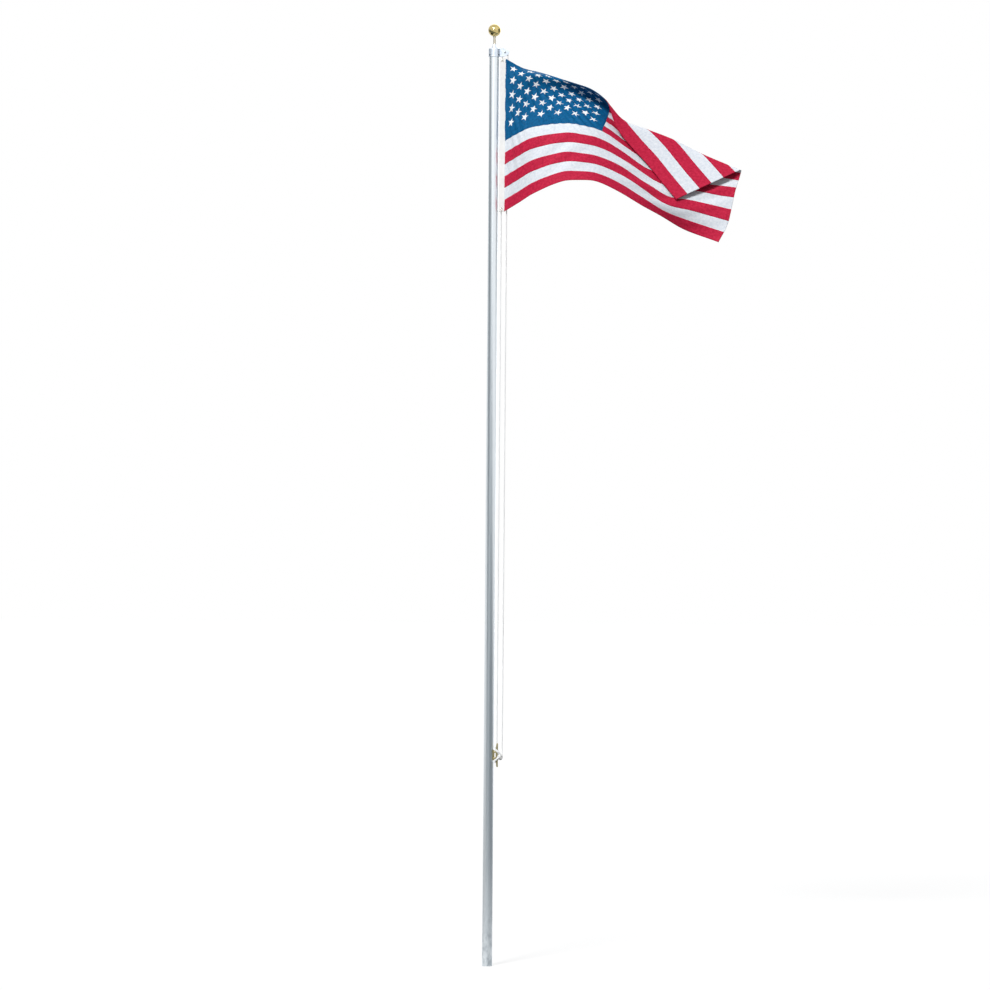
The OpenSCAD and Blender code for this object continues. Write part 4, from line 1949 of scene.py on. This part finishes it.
@dataclass(frozen=True)
class HoistFittings:
    """The canvas heading with its grommets, and the snap hooks that hold it to the halyard."""

    overlap: float = 3.0
    thick: float = 2.0
    mesh_size: float = 3.0
    pucker: float = 0.5
    pucker_pitch: float = 38.0
    pucker_drift: float = 2.0
    drift_length: float = 83.0
    grommet_inset: float = 15.0
    grommet_hole: float = 4.75
    grommet_rim: float = 9.0
    grommet_lip: float = 1.1
    hole_cut: float = 6.3
    wire: float = 1.7
    rope: float = ROPE_DIAMETER / 2
    slip: float = ROPE_SLIP
    swivel: float = 2.9
    swivel_neck: float = 0.7
    swivel_shares: tuple[float, ...] = (0.35, 0.45, 0.55, 0.65)
    swivel_sunk: float = 1.2
    swivel_round: float = 0.4

    def build(self) -> Pieces:
        """Make the heading, its two grommets and the two snap hooks.

        Returns:
            The finished pieces.
        """
        low, high = box_mm("heading")
        heights = {"top": high.z - self.grommet_inset, "bottom": low.z + self.grommet_inset}
        pieces = [self.heading(low, high, tuple(heights.values()))]
        middle = middle_mm("heading")
        for end, height in heights.items():
            node = f"grommet_{end}"
            ring = moved(self.grommet(), shift(middle.x, middle.y, height), turn(90, "X"))
            pieces.append(make_piece(f"{end}_grommet", ring, NICKEL, Body.FLAG, [node]))
        for end in heights:
            node = f"snap_{end}"
            hook = self.snap(node)
            pieces.append(make_piece(f"{end}_snap_hook", hook, NICKEL, Body.FLAG, [node]))
        return pieces

    def heading(self, low: Vector, high: Vector, holes: Sequence[float]) -> Piece:
        """Lay the canvas strip, slightly puckered by its stitching, with a hole at each grommet.

        Args:
            low: the strip's lowest corner in millimetres.
            high: its highest corner.
            holes: the heights of the grommets' holes.

        Returns:
            The finished strip.
        """
        wide, tall = high.x + self.overlap - low.x, high.z - low.z
        mesh, u, v = flat_grid((0.0, wide), (0.0, tall), self.mesh_size)
        middle, z = (low + high) / 2, high.z - v
        drift = self.pucker_drift * np.sin(z / self.drift_length)
        wave = np.sin(z * math.tau / self.pucker_pitch + drift)
        y = middle.y + self.pucker * abs(2 * u / wide - 1) * wave
        lay(mesh, u, v, np.stack((low.x + u, y, z), axis=1) / 1000.0)
        cut = []
        for face in mesh.faces:
            at = face.calc_center_median() * 1000.0
            if any(math.hypot(at.x - middle.x, at.z - hole) < self.hole_cut for hole in holes):
                cut.append(face)
        bmesh.ops.delete(mesh, geom=cut, context="FACES")
        piece = make_piece("canvas_heading", mesh, CANVAS, Body.FLAG, ["heading"], sharp=180.0)
        thicken(piece, self.thick)
        return piece

    def grommet(self) -> Mesh:
        """Turn a grommet: a barrel with a rolled lip on each face.

        Returns:
            The grommet's mesh about the Z axis.
        """
        face = self.thick / 2
        middle = (self.grommet_hole + self.grommet_rim) / 2
        half = (self.grommet_rim - self.grommet_hole) / 2
        roll = arc(self.grommet_lip, 0, 180, 10)
        lip = [(middle + half * x / self.grommet_lip, face + z) for x, z in roll]
        return lathe(lip + mirrored(lip), 48, closed=True)

    def snap(self, node: str) -> Mesh:
        """Bend a snap hook: its loop through the grommet, its eye round the rope, a swivel between.

        Args:
            node: the hook's node in the frame.

        Returns:
            The hook's mesh.
        """
        low, high = box_mm(node)
        loop_out = (high.z - low.z) / 2
        loop_radius = loop_out - self.wire
        eye_radius = self.rope + self.slip + self.wire
        x, z = (low.x + high.x) / 2, (low.z + high.z) / 2
        loop_y, eye_y = low.y + loop_out, high.y - eye_radius - self.wire
        loop = moved(self.ring(loop_radius), shift(x, loop_y, z), turn(90, "Y"))
        eye = moved(self.ring(eye_radius), shift(x, eye_y, z))
        start, end = loop_y + loop_radius, eye_y - eye_radius
        wide, neck, sunk = self.swivel, self.swivel * self.swivel_neck, self.swivel_sunk
        near_rim, near_neck, far_neck, far_rim = ((end - start) * share for share in self.swivel_shares)
        far_end = end - start + sunk
        barrel = [(0, -sunk), (wide, -sunk), (wide, near_rim), (neck, near_neck)]
        barrel += [(neck, far_neck), (wide, far_rim), (wide, far_end), (0, far_end)]
        swivel = soften(lathe(barrel, 32), self.swivel_round)
        moved(swivel, shift(x, start, z), turn(-90, "X"))
        return gathered(loop, eye, swivel)

    def ring(self, radius: float) -> Mesh:
        """Spin a round wire into a ring.

        Args:
            radius: radius of the wire's centre line in millimetres.

        Returns:
            The ring's mesh about the Z axis.
        """
        section = [(radius + x, z) for x, z in arc(self.wire, 0, 360, 16)[:-1]]
        return lathe(section, 64, closed=True)


@dataclass(frozen=True)
class Card:
    """A grey card curled round the pole: each pair is a value at its foot and at its top."""

    name: str
    way: Pair
    span: Pair
    reach: Pair
    height: Pair
    tone: str = "#7e868b"

    def at(self, across: float, rise: float) -> Vector:
        """Find a point of the card.

        Args:
            across: share of its width, from -0.5 to 0.5.
            rise: share of its height, from 0 to 1.

        Returns:
            The point in metres.
        """
        pairs = (self.way, self.span, self.reach, self.height)
        way, span, reach, height = (foot + (top - foot) * rise for foot, top in pairs)
        return turn(way + span * across, "Z") @ Vector((0.0, -reach, height))


@dataclass(frozen=True)
class Sun:
    """A broad light that falls alike on the pole's whole height: the direction that it comes from,
    its strength on a surface that faces it, and its width in the sky in degrees.
    """

    name: str
    source: Triple
    power: float
    spread: float

    def shine(self) -> None:
        """Add the light to the scene."""
        data = bpy.data.lights.new(self.name, "SUN")
        data.energy = self.power
        data.angle = math.radians(self.spread)
        light = new_object(self.name, data)
        light.matrix_world = Vector(self.source).to_track_quat("Z", "Y").to_matrix().to_4x4()


@dataclass(frozen=True)
class Studio:
    """The camera at the photograph's angle, a pale floor, soft even light and cards for metal to mirror."""

    frame_pixels: float = 990.0
    mm_per_pixel: float = 5.97
    foot_row: float = 966.0
    axis_column: float = 490.83
    roll: float = 0.47
    distance: float = 30.0
    sensor: float = 36.0
    view_end: float = 400.0
    ambient: float = 0.26
    ambient_tone: str = "#f4f7fb"
    floor_size: float = 160.0
    floor_seen: str = "#f4f4f4"
    floor_unseen: str = "#60605e"
    floor_glow: float = 0.75
    glow_power: float = 1.06
    suns: tuple[Sun, ...] = (
        Sun("key_light", (-0.3, -0.76, 0.58), power=2.8, spread=12.0),
        Sun("fill_light", (0.6, -0.6, 0.5), power=0.25, spread=60.0),
        Sun("back_light", (0.3, 0.85, 0.42), power=1.4, spread=60.0),
    )
    cards: tuple[Card, ...] = (
        Card("long_card", way=(60.0, -115.0), span=(190.0, 44.0), reach=(2.6, 2.6), height=(0.0, 6.0)),
        Card("side_card", way=(95.0, 95.0), span=(20.0, 70.0), reach=(2.6, 2.6), height=(4.2, 6.4)),
        Card("floor_card", (-75.0, -75.0), (120.0, 120.0), (8.0, 2.2), (0.02, 0.02), tone="#15181a"),
    )

    def build(self) -> None:
        """Set up the whole studio."""
        bpy.context.scene.view_settings.view_transform = "Standard"
        self.set_camera()
        self.set_world()
        self.lay_floor()
        for card in self.cards:
            self.hang_card(card)
        for sun in self.suns:
            sun.shine()

    def set_camera(self) -> None:
        """Put a long lens level with the middle of the frame, leaning as the photograph does."""
        data = bpy.data.cameras.new("photo_camera")
        camera = new_object("photo_camera", data)
        middle = self.frame_pixels / 2
        x = mm((middle - self.axis_column) * self.mm_per_pixel)
        z = mm((self.foot_row - middle) * self.mm_per_pixel)
        data.sensor_width = self.sensor
        data.lens = self.sensor * self.distance / mm(self.frame_pixels * self.mm_per_pixel)
        data.clip_end = self.view_end
        camera.matrix_world = (
            Matrix.Translation((x, -self.distance, z)) @ turn(90.0, "X") @ turn(self.roll, "Z")
        )
        bpy.context.scene.camera = camera

    def set_world(self) -> None:
        """Make the background white and the light from all round plain."""
        world = bpy.data.worlds.new("studio")
        bpy.context.scene.world = world
        world.use_nodes = True
        tree = world.node_tree
        tree.nodes.clear()
        plain = {"Color": linear(self.ambient_tone), "Strength": self.ambient}
        soft = add_node(tree, "ShaderNodeBackground", values=plain)
        white = add_node(tree, "ShaderNodeBackground", values={"Color": linear("#ffffff"), "Strength": 1.0})
        seen = self.seen(tree)
        mix = add_node(
            tree, "ShaderNodeMixShader", links={0: (seen, "Value"), 1: (soft, 0), 2: (white, 0)}
        )
        add_node(tree, "ShaderNodeOutputWorld", links={"Surface": (mix, 0)})

    def seen(self, tree: Tree) -> Node:
        """Tell the rays that see the studio, straight or in a mirror, from those that light the pole.

        Args:
            tree: the nodes of the world or of a material.

        Returns:
            The node whose Value is 1 for a ray that sees the studio.
        """
        path = add_node(tree, "ShaderNodeLightPath")
        value: Link = (path, "Is Camera Ray")
        for ray in ("Is Glossy Ray", "Is Transmission Ray"):
            either = add_node(
                tree, "ShaderNodeMath", {"operation": "MAXIMUM"}, links={0: value, 1: (path, ray)}
            )
            value = (either, "Value")
        return either

    def lay_floor(self) -> None:
        """Lay a floor that the camera sees pale, with a soft shadow, and that sends little light back."""
        mesh = bmesh.new()
        bmesh.ops.create_grid(mesh, x_segments=1, y_segments=1, size=self.floor_size / 2)
        material, shader = new_material("pale_floor", {"Roughness": 1.0, "Specular IOR Level": 0.0})
        tree = material.node_tree
        seen = self.seen(tree)
        vary_colour(tree, shader, (seen, "Value"), self.floor_unseen, self.floor_seen)
        white = {"Color": linear("#ffffff"), "Strength": self.glow_power}
        glow = add_node(tree, "ShaderNodeEmission", values=white)
        share = add_node(
            tree, "ShaderNodeMath", {"operation": "MULTIPLY"}, {1: self.floor_glow}, {0: (seen, "Value")}
        )
        mix = add_node(
            tree, "ShaderNodeMixShader", links={0: (share, "Value"), 1: (shader, 0), 2: (glow, 0)}
        )
        tree.links.new(mix.outputs[0], tree.nodes["Material Output"].inputs["Surface"])
        self.add_stage("floor", mesh, material)

    def hang_card(self, card: Card) -> None:
        """Hang a grey card that only metal mirrors.

        Args:
            card: the card's shape and tone.
        """
        values = {"Base Color": linear("#000000"), "Specular IOR Level": 0.0}
        values |= {"Emission Color": linear(card.tone), "Emission Strength": 1.0}
        material, _ = new_material(card.name, values)
        mesh = bmesh.new()
        bmesh.ops.create_grid(mesh, x_segments=16, y_segments=36, size=0.5)
        for vert in mesh.verts:
            vert.co = card.at(vert.co.x, vert.co.y + 0.5)
        thing = self.add_stage(card.name, mesh, material)
        thing.visible_camera = False
        thing.visible_diffuse = False
        thing.visible_shadow = False

    def add_stage(self, name: str, mesh: Mesh, material: bpy.types.Material) -> Piece:
        """Add a piece of the studio that isn't part of the flagpole.

        Args:
            name: its name.
            mesh: its mesh, which is used up.
            material: its material.

        Returns:
            The new object.
        """
        thing = mesh_object(name, mesh, material)
        return thing


def main() -> None:
    """Build every sub-assembly over the frame and report its pieces."""
    logging.basicConfig(level=logging.INFO, format="%(message)s")
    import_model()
    Studio().build()
    cleat = Cleat()
    parts = (PoleTubes(), Truck(), Sheave(), Finial(), cleat, Halyard(cleat), HoistFittings(), Flag())
    for part in parts:
        for piece in part.build():
            LOG.info("%s: %s with %d faces", type(part).__name__, piece.name, len(piece.data.polygons))


if __name__ == "__main__":
    main()
